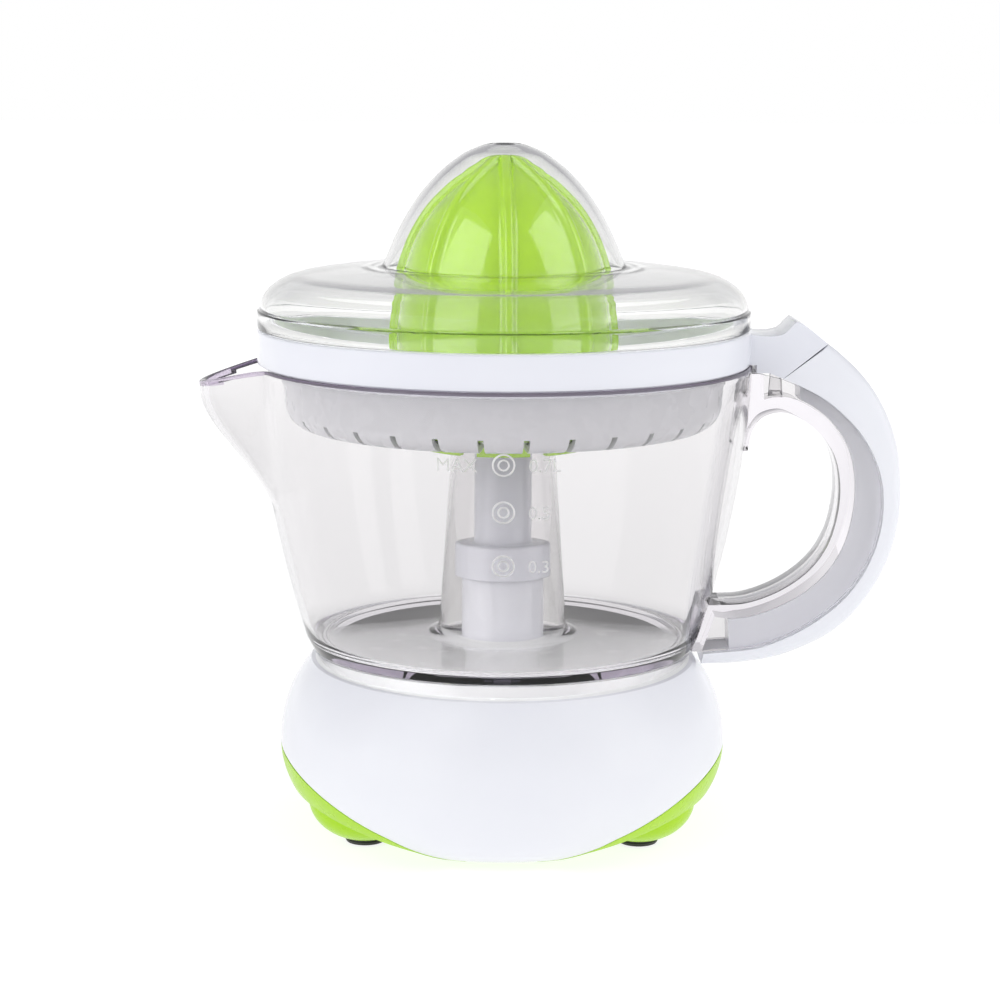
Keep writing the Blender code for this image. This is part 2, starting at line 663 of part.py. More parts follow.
# ---------------------------------------------------------------- motor, bushes and switch
def motor_screws():
    x, y = rotor_place()
    middle = x + CORE_LENGTH - YOKE_WIDTH / 2
    return [(middle, y - LEG_OFFSET), (middle, y + LEG_OFFSET)]


def motor():
    """U-shaped laminated core round the rotor, a coil on each leg and a strap under the rotor."""
    x, y = rotor_place()
    half = LEG_OFFSET + LEG_WIDTH / 2
    core = box("stator_core", (x - POLE_LENGTH, y - half, STACK_LOW), (x + CORE_LENGTH, y + half, STACK_HIGH),
               LAMINATE)
    window_half = LEG_OFFSET - LEG_WIDTH / 2
    pole_end = x + POLE_LENGTH
    cut(core, box("core_window", (pole_end, y - window_half, 0.01),
                  (x + CORE_LENGTH - YOKE_WIDTH, y + window_half, 0.04)),
        box("pole_split", (x - POLE_LENGTH - 0.001, y - 0.002, 0.01), (pole_end + 0.001, y + 0.002, 0.04)),
        cylinder("pole_bore", ROTOR_RADIUS + AIR_GAP, 0.01, 0.04, (x, y), sides=16))
    for i, at in enumerate(motor_screws()):
        cut(core, cylinder(f"core_bore_{i}", SCREW_RADIUS + GAP, 0.01, 0.04, at, sides=8))
        screw(f"motor_screw_{i + 1}", at, STACK_LOW - GAP - 0.0014, GEARBOX_FLOOR + 0.0017)
    for name, side in (("coil_front", -1), ("coil_rear", 1)):
        middle = y + side * LEG_OFFSET
        clear = LEG_WIDTH / 2 + GAP
        low, high = STACK_LOW - GAP, STACK_HIGH + GAP
        start = x + COIL_START
        coil = box(name, (start, middle - clear - COIL_THICK, low - COIL_THICK),
                   (start + COIL_LENGTH, middle + clear + COIL_THICK, high + COIL_THICK - 0.0004), COPPER)
        cut(coil, box(f"{name}_hole", (start - 0.001, middle - clear, low),
                      (start + COIL_LENGTH + 0.001, middle + clear, high)))
    strap_half = 0.0125
    strap = box("motor_strap", (x - 0.0040, y - strap_half, STACK_LOW - GAP - BRACKET_THICK),
                (x + 0.0040, y + strap_half, STACK_LOW - GAP), STEEL)
    cut(strap, cylinder("strap_hole", 0.0028 + GAP, 0.01, 0.02, (x, y), sides=16))
    turned("rotor_bush", tube_profile(ROTOR_SHAFT + 0.00015, 0.0028, STACK_LOW - GAP - BRACKET_THICK,
                                      STACK_LOW - GAP), BRONZE, 12, (x, y))


def bushes():
    """Bearings of the spindle: a flanged one in the tower, a plain one in the gearbox floor."""
    turned("upper_bush", [(BUSH_BORE, TOWER_TOP + 0.0012), (0.0088, TOWER_TOP + 0.0012),
                          (0.0088, TOWER_TOP + GAP), (0.0067, TOWER_TOP + GAP),
                          (0.0067, TOWER_TOP - 0.004), (BUSH_BORE, TOWER_TOP - 0.004)], BRONZE, 14)
    turned("lower_bush", tube_profile(BUSH_BORE, 0.0062, GEARBOX_FLOOR,
                                      GEARBOX_FLOOR + GEARBOX_PLATE - GAP), BRONZE, 12)


def switch():
    """Start switch under the spindle: the rod's end pushes its button."""
    half_x, half_y = SWITCH_HALF
    body = box("switch_body", (-half_x, -half_y, SWITCH_LOW), (half_x, half_y, SWITCH_HIGH), BLACK)
    cut(body, cylinder("button_well", BUTTON_RADIUS + GAP, BUTTON_LOW - PRESS - 0.0008, 0.03, sides=16))
    cylinder("switch_button", BUTTON_RADIUS, BUTTON_LOW, ROD_LOW - GAP, mat=RED, sides=16)


# ---------------------------------------------------------------- spindle
def spindle():
    rod = cylinder("spindle_rod", ROD_RADIUS, ROD_LOW, ROD_HIGH, mat=STEEL, sides=6, turn=HEX_TURN)
    join(rod, cylinder("rod_collar", COLLAR_RADIUS, COLLAR_LOW, COLLAR_LOW + 0.002, sides=20))
    skirt = CAP_RADIUS - 0.0015
    body = turned("drive_spindle", [(0.0, SHAFT_TOP), (SHAFT_RADIUS - 0.0008, SHAFT_TOP),
                                    (SHAFT_RADIUS, SHAFT_TOP - 0.0008), (SHAFT_RADIUS, CAP_TOP + 0.0015),
                                    (SHAFT_RADIUS + 0.0015, CAP_TOP), (CAP_RADIUS - 0.0015, CAP_TOP),
                                    (CAP_RADIUS, CAP_TOP - 0.0015), (CAP_RADIUS, CAP_LOW), (skirt, CAP_LOW),
                                    (skirt, CAP_UNDER), (0.0, CAP_UNDER)], WHITE, 24)
    tip = cylinder("drive_tip", TIP_RADIUS, SHAFT_TOP - 0.002, TIP_TOP, sides=6, turn=HEX_TURN)
    join(body, tip)
    cut(body, cylinder("rod_socket", ROD_RADIUS + GAP, CAP_LOW, ROD_HIGH + GAP, sides=6, turn=HEX_TURN))


def return_spring():
    """Coil spring between the gearbox cover and the rod's collar."""
    low = GEARBOX_WALL_TOP + COVER_THICK + SPRING_WIRE + GAP
    high = COLLAR_LOW - SPRING_WIRE - GAP
    per_turn = 8
    count = SPRING_TURNS * per_turn
    curve = bpy.data.curves.new("return_spring", "CURVE")
    curve.dimensions = "3D"
    curve.bevel_depth = SPRING_WIRE
    curve.bevel_resolution = 1
    curve.use_fill_caps = True
    spline = curve.splines.new("POLY")
    spline.points.add(count)
    for i, point in enumerate(spline.points):
        a = 2 * math.pi * i / per_turn
        point.co = (SPRING_RADIUS * math.cos(a), SPRING_RADIUS * math.sin(a), low + (high - low) * i / count, 1.0)
    as_mesh(add_object("return_spring", curve), STEEL)


# ---------------------------------------------------------------- jug
def jug_radius(z):
    share = (JUG_RIM - z) / JUG_SPAN
    return JUG_RADIUS - JUG_LEAN * share - JUG_CURVE * share ** 2


def spout_push(point):
    """Move a point of the jug's upper wall outwards and down where the spout is."""
    angle = abs(math.atan2(point.y, -point.x))
    if angle >= SPOUT_HALF_ANGLE or point.z <= SPOUT_LOW or math.hypot(point.x, point.y) < RING_INNER - 0.01:
        return point
    side = (0.5 + 0.5 * math.cos(math.pi * angle / SPOUT_HALF_ANGLE)) ** 1.25
    up = min((point.z - SPOUT_LOW) / (JUG_RIM - SPOUT_DIP - SPOUT_LOW), 1.0)
    reach = SPOUT_REACH * side * math.sin(math.pi / 2 * up) ** 1.5
    out = Vector((point.x, point.y, 0)).normalized() * reach
    dip = SPOUT_DIP * side * max((point.z - SPOUT_LOW) / (JUG_RIM - SPOUT_LOW), 0.0) ** 3
    return point + out - Vector((0, 0, dip))


def jug():
    """Wall, skirt, floor and central column in one turned ring, with spout and handle."""
    levels = [JUG_RIM, 0.1360, 0.1270, 0.1180, 0.1090, 0.0980, 0.0840, 0.0690, 0.0570]
    under = JUG_FLOOR - WALL
    outside = [(jug_radius(z), z) for z in levels] + [(SKIRT_RADIUS, SKIRT_LOW)]
    beneath = [(SKIRT_RADIUS - WALL, SKIRT_LOW), (SKIRT_RADIUS - WALL + 0.0006, under),
               (COLUMN_FOOT - WALL + 0.004, under), (COLUMN_FOOT - WALL + 0.0006, under + 0.004)]
    column_in = [(COLUMN_HEAD - WALL, COLUMN_TOP - 0.004), (SHAFT_RADIUS + 0.0012, COLUMN_TOP - WALL),
                 (SHAFT_RADIUS + 0.0012, COLUMN_TOP)]
    column_out = [(COLUMN_HEAD - 0.002, COLUMN_TOP), (COLUMN_HEAD, COLUMN_TOP - 0.002),
                  (COLUMN_FOOT, JUG_FLOOR + 0.005), (COLUMN_FOOT + 0.0045, JUG_FLOOR)]
    inside = [(jug_radius(JUG_FLOOR) - WALL - 0.004, JUG_FLOOR)]
    inside += [(jug_radius(z) - WALL, z) for z in reversed(levels[:-1])]
    body = turned("jug_body", outside + beneath + column_in + column_out + inside, steps=32)
    body = as_mesh(body, CLEAR)
    body.name = "jug"
    for vertex in body.data.vertices:
        vertex.co = spout_push(vertex.co)
    join(body, handle_bar())
    cut(body, handle_channel())
    return body


def grip_inner():
    """Inside of the handle loop, from the upper root round to the lower root."""
    return smooth_line([(0.0785, 0.1300), (0.0860, 0.1306), (0.0945, 0.1258), (0.1008, 0.1175),
                        (0.1028, 0.1060), (0.1007, 0.0929), (0.0950, 0.0830), (0.0860, 0.0757),
                        (0.0755, 0.0716)], 3)


def grip_outer():
    """Line between the clear handle and the white pieces outside it."""
    return smooth_line([(0.0842, 0.1409), (0.0970, 0.1346), (0.1084, 0.1242), (0.1147, 0.1102),
                        (0.1153, 0.0970), (0.1095, 0.0803), (0.0989, 0.0684), (0.0867, 0.0610),
                        (0.0720, 0.0572)], 3)


def handle_bar():
    root = 0.0015
    top = [(jug_radius(0.1285) - root, 0.1285), (jug_radius(0.1420) - root, 0.1425), (0.0770, 0.1426)]
    bottom = [(jug_radius(0.0565) - root, 0.0562), (jug_radius(0.0700) - root, 0.0708)]
    outline = top + grip_outer() + bottom + grip_inner()[::-1]
    return extruded("handle_bar", [outline], HANDLE_HALF_WIDTH, UPRIGHT)


def handle_channel():
    floor_line = offset(grip_inner(), -CHANNEL_FLOOR)[3:]
    outer_line = offset(grip_outer(), -0.004)[1:]
    return extruded("handle_channel", [outer_line + floor_line[::-1]], CHANNEL_HALF_WIDTH, UPRIGHT)


def cover_back():
    """Outside of the white handle cover, from the seam under the thumb rest to its lower end."""
    return smooth_line([(0.0980, 0.1514), (0.1095, 0.1413), (0.1175, 0.1274), (0.1213, 0.1075),
                        (0.1197, 0.0900), (0.1122, 0.0739), (0.0995, 0.0611), (0.0856, 0.0547),
                        (0.0700, 0.0524)], 3)


def handle_cover():
    """White shell clipped over the channel; hollow towards the handle."""
    inside = offset(grip_outer(), -0.0004)
    cover = extruded("handle_cover", [cover_back() + inside[::-1]], COVER_HALF_WIDTH, UPRIGHT, WHITE)
    hollow_back = offset(cover_back(), BASE_SKIN)[2:-2]
    hollow_front = offset(grip_outer(), 0.003)[2:-2]
    hollow = hollow_back + hollow_front[::-1]
    cut(cover, extruded("cover_hollow", [hollow], COVER_HALF_WIDTH - BASE_SKIN, UPRIGHT))
    return cover


# ---------------------------------------------------------------- strainer and pulp disc
def strainer():
    """Ring on the jug's rim, slotted bowl, hub over the column and thumb rest over the handle."""
    inner = BOWL_RADIUS - WALL
    top = BOWL_FLOOR + WALL
    ring = [(RING_RADIUS - 0.0008, RING_TOP), (RING_RADIUS, RING_TOP - 0.0008), (RING_RADIUS, RING_LOW),
            (0.0730, RING_LOW), (0.0722, RING_LOW - 0.0040), (BOWL_RADIUS + 0.0006, RING_LOW - 0.0060),
            (BOWL_RADIUS - 0.0004, BOWL_FLOOR + BOWL_ROUND), (BOWL_RADIUS - BOWL_ROUND, BOWL_FLOOR),
            (OPENING_OUTER, BOWL_FLOOR), (OPENING_OUTER, top), (inner - BOWL_ROUND + 0.001, top),
            (inner, top + BOWL_ROUND - 0.001), (inner + 0.0006, RING_LOW - 0.0045),
            (RING_INNER - 0.0012, RING_LOW - 0.0020),
            (RING_INNER, RING_TOP)]
    made = turned("strainer", ring, WHITE)
    hub = [(HUB_HOLE, HUB_TOP), (HUB_HEAD - 0.0015, HUB_TOP), (HUB_HEAD, HUB_TOP - 0.0015),
           (OPENING_INNER, top + 0.0005), (OPENING_INNER, BOWL_FLOOR), (OPENING_INNER - WALL, BOWL_FLOOR),
           (HUB_HEAD - WALL, HUB_TOP - WALL), (HUB_HOLE, HUB_TOP - WALL)]
    hub_body = turned("strainer_hub", hub)
    spokes = radial_boxes("hub_spokes", SPOKES, math.pi / SPOKES + DISC_TURN / 2, OPENING_INNER - 0.0012,
                          OPENING_OUTER + 0.0015, SPOKE_WIDTH, BOWL_FLOOR + 0.0002, top - 0.0002)
    join(hub_body, spokes)
    join(made, hub_body, thumb_rest())
    cut(made, radial_boxes("strainer_slots", SLOTS, math.pi / SLOTS, SLOT_FROM, 0.0700, SLOT_WIDTH,
                           BOWL_FLOOR - 0.002, SLOT_HIGH))
    return made


def thumb_rest():
    top = smooth_line([(0.0728, 0.1550), (0.0790, 0.1541), (0.0840, 0.1548), (0.0868, 0.1576),
                       (0.0886, 0.1585), (0.0925, 0.1560), (0.0974, 0.1518)], 2)
    lower = [(0.0842 + 0.0001, 0.1414), (0.0800, 0.1430), (0.0762, 0.1430), (0.0762, RING_LOW),
             (0.0728, RING_LOW)]
    return extruded("thumb_rest", [top + lower], COVER_HALF_WIDTH, UPRIGHT)


def pulp_disc():
    """Slotted disc that turns on the strainer's floor, its collar hanging between the hub's spokes."""
    high = DISC_LOW + DISC_THICK
    profile = [(COLLAR_INNER, high), (DISC_RADIUS - 0.0050, high), (DISC_RADIUS, DISC_RIM),
               (DISC_RADIUS + 0.0016, DISC_RIM), (DISC_RADIUS - 0.0040, DISC_LOW), (COLLAR_OUTER, DISC_LOW),
               (COLLAR_OUTER, COLLAR_BOTTOM), (COLLAR_INNER, COLLAR_BOTTOM)]
    disc = turned("pulp_disc", profile, LIME)
    gap_width = 2 * COLLAR_OUTER * math.sin(COLLAR_GAP / 2)
    cut(disc, radial_boxes("collar_gaps", SPOKES, math.pi / SPOKES, 0.020, 0.032, gap_width,
                           COLLAR_BOTTOM - 0.002, DISC_LOW - 0.0001),
        radial_boxes("disc_slots", SLOTS, 0.0, SLOT_FROM, DISC_RADIUS - 0.0070, SLOT_WIDTH, 0.12, 0.14))
    join(disc, box("disc_tab", (-0.0010, -DISC_RADIUS + 0.0005, high - 0.0005), (0.0010, -0.0520, 0.1335)))
    return disc


def hub_bush():
    turned("hub_bush", [(TIP_RADIUS + 0.0004, HUB_TOP + 0.0018), (0.0125, HUB_TOP + 0.0018),
                        (0.0125, HUB_TOP + GAP), (HUB_HOLE - GAP, HUB_TOP + GAP),
                        (HUB_HOLE - GAP, 0.1386), (TIP_RADIUS + 0.0004, 0.1386)], NYLON, 16)


# ---------------------------------------------------------------- cones and lid
def dome(radius, top, height, low, flare, pieces=6):
    """A pointed dome over a nearly straight skirt, from the tip down."""
    points = []
    for i in range(1, pieces + 1):
        a = math.pi / 2 * i / pieces
        points.append((radius * math.sin(a) ** 0.92, top - height * (1 - math.cos(a))))
    return points + [(radius + flare, low)]


def fins(name, profile, count, width, stand, start):
    """Radial ribs that follow a dome's outside; the profile is the dome's, from the tip down."""
    mesh_parts = []
    foot = profile[-1][1] - 0.0006
    first = tuple((Vector(profile[start - 1]) + Vector(profile[start])) / 2)
    followed = [first] + profile[start:]
    outer = offset(followed, -stand)[:-1] + [(profile[-1][0] + stand, foot)]
    inner = offset(followed, 0.0009)[:-1] + [(profile[-1][0] - 0.0009, foot)]
    for i in range(count):
        turn = Matrix.Rotation(2 * math.pi * i / count - math.pi / 2, 4, "Z")
        mesh_parts.append(extruded(f"{name}_{i}", [outer + inner[::-1]], width / 2, turn @ UPRIGHT))
    return mesh_parts


def large_cone():
    outer = dome(CONE_RADIUS, CONE_TOP, CONE_DOME, CONE_LOW + 0.0030, CONE_FLARE)
    inner = offset(outer, CONE_SKIN)
    rest = SMALL_FLANGE - 0.0025
    profile = [(0.0, CONE_TOP)] + outer + [(CONE_FLANGE, CONE_LOW + 0.0012), (CONE_FLANGE, CONE_LOW),
                                           (SMALL_FLANGE + 0.0010, CONE_LOW)]
    profile += [(SMALL_FLANGE + 0.0010, CONE_LOW + 0.0022), (rest, CONE_LOW + 0.0022),
                (rest, CONE_LOW + 0.0038), (inner[-1][0] - 0.0004, CONE_LOW + 0.0042)]
    profile += inner[1:-1][::-1] + [(0.0, CONE_TOP - CONE_SKIN)]
    cone = turned("large_cone", profile, LIME, 24)
    join(cone, *fins("cone_rib", outer, RIBS, RIB_WIDTH, RIB_HEIGHT, 1))
    return cone


def small_cone():
    """Ribbed cone for small fruit, hollow round a socket for the drive tip."""
    outer = dome(SMALL_RADIUS, SMALL_TOP, SMALL_DOME, SMALL_LOW + 0.0016, 0.0005, 5)
    tube = TIP_RADIUS + 2 * GAP + CONE_SKIN
    hollow = SMALL_RADIUS - CONE_SKIN - 0.0008
    profile = [(0.0, SMALL_TOP)] + outer + [(SMALL_FLANGE, SMALL_LOW + 0.0016), (SMALL_FLANGE, SMALL_LOW),
                                            (hollow, SMALL_LOW), (hollow - 0.0010, SMALL_LOW + 0.0110),
                                            (tube + 0.0055, SMALL_LOW + 0.0230), (tube, SMALL_LOW + 0.0260),
                                            (tube, SMALL_LOW), (0.0, SMALL_LOW)]
    cone = turned("small_cone", profile, LIME, 24)
    join(cone, *fins("small_rib", outer, RIBS, RIB_WIDTH, RIB_HEIGHT, 1))
    cut(cone, cylinder("cone_socket", TIP_RADIUS + GAP, SMALL_LOW - 0.001, TIP_TOP + GAP, sides=6,
                       turn=HEX_TURN))
    return cone


def lid():
    peak = [(LID_SEAM * math.sin(math.radians(a)) ** 0.86,
             LID_TOP - (LID_TOP - LID_SEAM_HEIGHT) * (1 - math.cos(math.radians(a))))
            for a in (10, 30, 50, 70)]
    peak.append((LID_SEAM - 0.0006, LID_SEAM_HEIGHT + 0.0030))
    shoulder = [(LID_SEAM + 0.0012, LID_SEAM_HEIGHT), ((LID_SEAM + LID_SHOULDER) / 2, 0.1736)]
    shoulder += arc(LID_RADIUS - LID_ROUND, LID_SHOULDER_HEIGHT - LID_ROUND + 0.0003, LID_ROUND, 86, 6, 3)
    outer = [(0.0, LID_TOP)] + peak + shoulder + [(LID_RADIUS, LID_LOW)]
    inner = offset(outer, LID_SKIN)
    inner[0] = (0.0, LID_TOP - LID_SKIN)
    inner[-1] = (LID_RADIUS - LID_SKIN, LID_LOW)
    return turned("lid", outer + inner[::-1], CLEAR)


def stand_in_frame():
    """Move the finished machine so that the middle of its footprint is at the origin."""
    for obj in bpy.data.objects:
        obj.location.x += AXIS_X


# ---------------------------------------------------------------- build
clear_scene()
PARTS = new_collection(PARTS_NAME)
CUTTERS = new_collection("cutters")
WHITE = material("white_plastic", (0.86, 0.87, 0.92), 0.25)
LIME = material("lime_plastic", (0.40, 0.68, 0.03), 0.25)
CLEAR = material("clear_plastic", (0.90, 0.90, 0.93), 0.05, alpha=0.3)
RUBBER = material("black_rubber", (0.02, 0.02, 0.02), 0.7)
STEEL = material("steel", (0.60, 0.61, 0.63), 0.3, 1.0)
BRASS = material("brass", (0.70, 0.53, 0.22), 0.3, 1.0)
BRONZE = material("bronze", (0.55, 0.38, 0.20), 0.4, 1.0)
COPPER = material("copper_winding", (0.60, 0.25, 0.12), 0.35, 1.0)
LAMINATE = material("laminated_iron", (0.30, 0.31, 0.33), 0.45, 1.0)
FERRITE = material("ferrite", (0.06, 0.06, 0.07), 0.5)
NYLON = material("nylon", (0.85, 0.84, 0.78), 0.45)
BLACK = material("black_plastic", (0.03, 0.03, 0.035), 0.45)
RED = material("red_button", (0.60, 0.03, 0.02), 0.4)

upper_casing()
lower_casing()
feet()
cord_gland()
for number, place in enumerate(POSTS):
    screw(f"casing_screw_{number + 1}", place, TUB_FLOOR + 0.0004, 0.0220)
for number, place in enumerate(GEARBOX_BOSSES):
    screw(f"gearbox_screw_{number + 1}", place, GEARBOX_FLOOR - GAP - 0.0014, 0.0550)
output_gear()
idler_gear()
idler_pin()
rotor_assembly()
gearbox()
motor()
bushes()
switch()
spindle()
return_spring()
jug()
handle_cover()
strainer()
pulp_disc()
hub_bush()
small_cone()
large_cone()
lid()
stand_in_frame()
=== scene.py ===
"""Electric citrus press in lime and white plastic with a clear jug and lid.

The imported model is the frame. Profiles below are in millimetres about the drive axis, with
heights above the table, and are moved to the axis and scaled to metres when a piece is finished.
"""
import math

import bmesh
import bpy
from mathutils import Matrix, Vector


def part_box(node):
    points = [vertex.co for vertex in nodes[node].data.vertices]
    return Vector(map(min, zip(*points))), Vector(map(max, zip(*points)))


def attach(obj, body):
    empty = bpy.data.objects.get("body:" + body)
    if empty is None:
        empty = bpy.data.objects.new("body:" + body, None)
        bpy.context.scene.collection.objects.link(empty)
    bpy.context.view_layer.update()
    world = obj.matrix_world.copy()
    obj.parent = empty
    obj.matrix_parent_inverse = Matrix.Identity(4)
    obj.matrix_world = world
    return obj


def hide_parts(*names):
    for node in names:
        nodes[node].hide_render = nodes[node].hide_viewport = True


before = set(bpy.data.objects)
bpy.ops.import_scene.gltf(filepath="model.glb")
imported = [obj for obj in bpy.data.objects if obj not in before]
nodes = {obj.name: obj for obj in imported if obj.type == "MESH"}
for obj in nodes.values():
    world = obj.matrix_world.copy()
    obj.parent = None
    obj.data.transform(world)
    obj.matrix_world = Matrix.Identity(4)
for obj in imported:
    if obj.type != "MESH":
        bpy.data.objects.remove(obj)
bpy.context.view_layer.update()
scene = bpy.context.scene


def middle(node):
    low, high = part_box(node)
    return (Vector(low) + Vector(high)) / 2


AXIS = Vector((middle("lid").x, 0.0, 0.0))
TURN = 2 * math.pi


# ---------------------------------------------------------------- making pieces
def flow(points, pieces=8):
    """A smooth line through the points."""
    knots = [Vector(p) for p in points]
    knots = [2 * knots[0] - knots[1]] + knots + [2 * knots[-1] - knots[-2]]
    line = []
    for a, b, c, d in zip(knots, knots[1:], knots[2:], knots[3:]):
        for step in range(pieces):
            t = step / pieces
            line.append(0.5 * (2 * b + (c - a) * t + (2 * a - 5 * b + 4 * c - d) * t * t
                               + (3 * b - 3 * c + d - a) * t ** 3))
    return [tuple(p) for p in line] + [tuple(knots[-2])]


def beside(points, distance):
    """The line moved sideways, to the right of its direction for a positive distance."""
    moved = []
    for i, point in enumerate(points):
        along = (Vector(points[min(i + 1, len(points) - 1)]) - Vector(points[max(i - 1, 0)])).normalized()
        moved.append((point[0] + along.y * distance, point[1] - along.x * distance))
    return moved


def corner(before, point, after, radius, pieces=4):
    """A rounded corner at a point of a profile."""
    a, p, b = Vector(before), Vector(point), Vector(after)
    start = p + (a - p).normalized() * radius
    end = p + (b - p).normalized() * radius
    return [tuple((1 - t) ** 2 * start + 2 * t * (1 - t) * p + t * t * end)
            for t in (i / pieces for i in range(pieces + 1))]


def rounded(points, radii):
    """A closed profile with each corner rounded by its own radius, 0 for a sharp one."""
    line = []
    for i, point in enumerate(points):
        radius = radii[i] if isinstance(radii, (list, tuple)) else radii
        if radius:
            line += corner(points[i - 1], point, points[(i + 1) % len(points)], radius)
        else:
            line.append(point)
    return line


def turn_profile(shape, profile, steps=128, at=(0.0, 0.0)):
    """Spin a closed (radius, height) outline, or an open one with both ends on the axis, about Z."""
    verts = [shape.verts.new((r, 0.0, z)) for r, z in profile]
    edges = [shape.edges.new(pair) for pair in zip(verts, verts[1:])]
    if profile[0][0] > 1e-6:
        edges.append(shape.edges.new((verts[-1], verts[0])))
    old = set(shape.verts) - set(verts)
    bmesh.ops.spin(shape, geom=verts + edges, cent=(0, 0, 0), axis=(0, 0, 1), angle=TURN, steps=steps,
                   use_merge=True)
    made = [v for v in shape.verts if v not in old]
    bmesh.ops.remove_doubles(shape, verts=made, dist=1e-4)
    made = [v for v in shape.verts if v not in old]
    bmesh.ops.translate(shape, verts=made, vec=(at[0], at[1], 0.0))
    return made


def slab(shape, outline, half):
    """A flat outline in (x, z) given a thickness either side of the middle plane."""
    verts = [shape.verts.new((x, -half, z)) for x, z in outline]
    face = shape.faces.new(verts)
    grown = bmesh.ops.extrude_face_region(shape, geom=[face])["geom"]
    moved = [g for g in grown if isinstance(g, bmesh.types.BMVert)]
    bmesh.ops.translate(shape, verts=moved, vec=(0, 2 * half, 0))
    return verts + moved


def soften(shape, edges, width, segments=3):
    bmesh.ops.bevel(shape, geom=list(edges), offset=width, offset_type="OFFSET", segments=segments,
                    profile=0.5, affect="EDGES", material=-1, clamp_overlap=True)


def finished(name, shape, body, material, sharp=35, solid=True):
    """Turn a millimetre bmesh into a piece that rides on its body."""
    if solid:
        bmesh.ops.recalc_face_normals(shape, faces=shape.faces)
    bmesh.ops.scale(shape, verts=shape.verts, vec=(0.001, 0.001, 0.001))
    bmesh.ops.translate(shape, verts=shape.verts, vec=AXIS)
    mesh = bpy.data.meshes.new(name)
    shape.to_mesh(mesh)
    shape.free()
    mesh.shade_smooth()
    mesh.set_sharp_from_angle(angle=math.radians(sharp))
    piece = bpy.data.objects.new(name, mesh)
    scene.collection.objects.link(piece)
    mesh.materials.append(material)
    if body:
        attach(piece, body)
    return piece


def carve(piece, cutters, operation="DIFFERENCE", sharp=35):
    """Cut, join or intersect helper pieces, which are used up."""
    for cutter in cutters:
        change = piece.modifiers.new(cutter.name, "BOOLEAN")
        change.operation = operation
        change.solver = "EXACT"
        change.object = cutter
    bpy.context.view_layer.update()
    made = bpy.data.meshes.new_from_object(piece.evaluated_get(bpy.context.evaluated_depsgraph_get()))
    piece.modifiers.clear()
    old, piece.data = piece.data, made
    made.name = piece.name
    bpy.data.meshes.remove(old)
    for cutter in cutters:
        bpy.data.objects.remove(cutter, do_unlink=True)
    made.shade_smooth()
    made.set_sharp_from_angle(angle=math.radians(sharp))


# ---------------------------------------------------------------- finishes
def finish_of(name, colour, roughness, **sockets):
    material = bpy.data.materials.new(name)
    material.use_nodes = True
    shader = material.node_tree.nodes["Principled BSDF"]
    shader.inputs["Base Color"].default_value = (*colour, 1.0)
    shader.inputs["Roughness"].default_value = roughness
    for socket, value in sockets.items():
        shader.inputs[socket.replace("_", " ")].default_value = value
    return material, material.node_tree, shader


def object_noise(tree, scale, detail=3.0, rough=0.5, squash=(1.0, 1.0, 1.0)):
    place = tree.nodes.new("ShaderNodeTexCoord")
    mapping = tree.nodes.new("ShaderNodeMapping")
    mapping.inputs["Scale"].default_value = squash
    noise = tree.nodes.new("ShaderNodeTexNoise")
    noise.inputs["Scale"].default_value = scale
    noise.inputs["Detail"].default_value = detail
    noise.inputs["Roughness"].default_value = rough
    tree.links.new(place.outputs["Object"], mapping.inputs["Vector"])
    tree.links.new(mapping.outputs["Vector"], noise.inputs["Vector"])
    return noise.outputs["Fac"]


def spread(tree, value, low, high, start=0.3, end=0.7):
    """Map a noise to a range."""
    node = tree.nodes.new("ShaderNodeMapRange")
    node.inputs["From Min"].default_value = start
    node.inputs["From Max"].default_value = end
    node.inputs["To Min"].default_value = low
    node.inputs["To Max"].default_value = high
    tree.links.new(value, node.inputs["Value"])
    return node.outputs["Result"]


def tint(tree, value, first, second, start=0.3, end=0.7):
    ramp = tree.nodes.new("ShaderNodeValToRGB")
    ramp.color_ramp.elements[0].position = start
    ramp.color_ramp.elements[0].color = (*first, 1.0)
    ramp.color_ramp.elements[1].position = end
    ramp.color_ramp.elements[1].color = (*second, 1.0)
    tree.links.new(value, ramp.inputs["Fac"])
    return ramp.outputs["Color"]


def ripple(tree, shader, value, strength, distance):
    bump = tree.nodes.new("ShaderNodeBump")
    bump.inputs["Strength"].default_value = strength
    bump.inputs["Distance"].default_value = distance
    tree.links.new(value, bump.inputs["Height"])
    tree.links.new(bump.outputs["Normal"], shader.inputs["Normal"])


def moulded_gloss(name, first, second, low, high, level, coat, grain=420.0):
    """Polished injection-moulded plastic: faint flow shades, slight waviness and hairline haze."""
    material, tree, shader = finish_of(name, first, low, IOR=1.5, Specular_IOR_Level=level, Coat_Weight=coat,
                                       Coat_Roughness=0.04, Coat_IOR=1.6)
    tree.links.new(tint(tree, object_noise(tree, 22.0, 4.0), first, second), shader.inputs["Base Color"])
    haze = object_noise(tree, 150.0, 2.0)
    tree.links.new(spread(tree, haze, low, high), shader.inputs["Roughness"])
    ripple(tree, shader, object_noise(tree, grain, 2.0), 0.05, 0.0001)
    return material


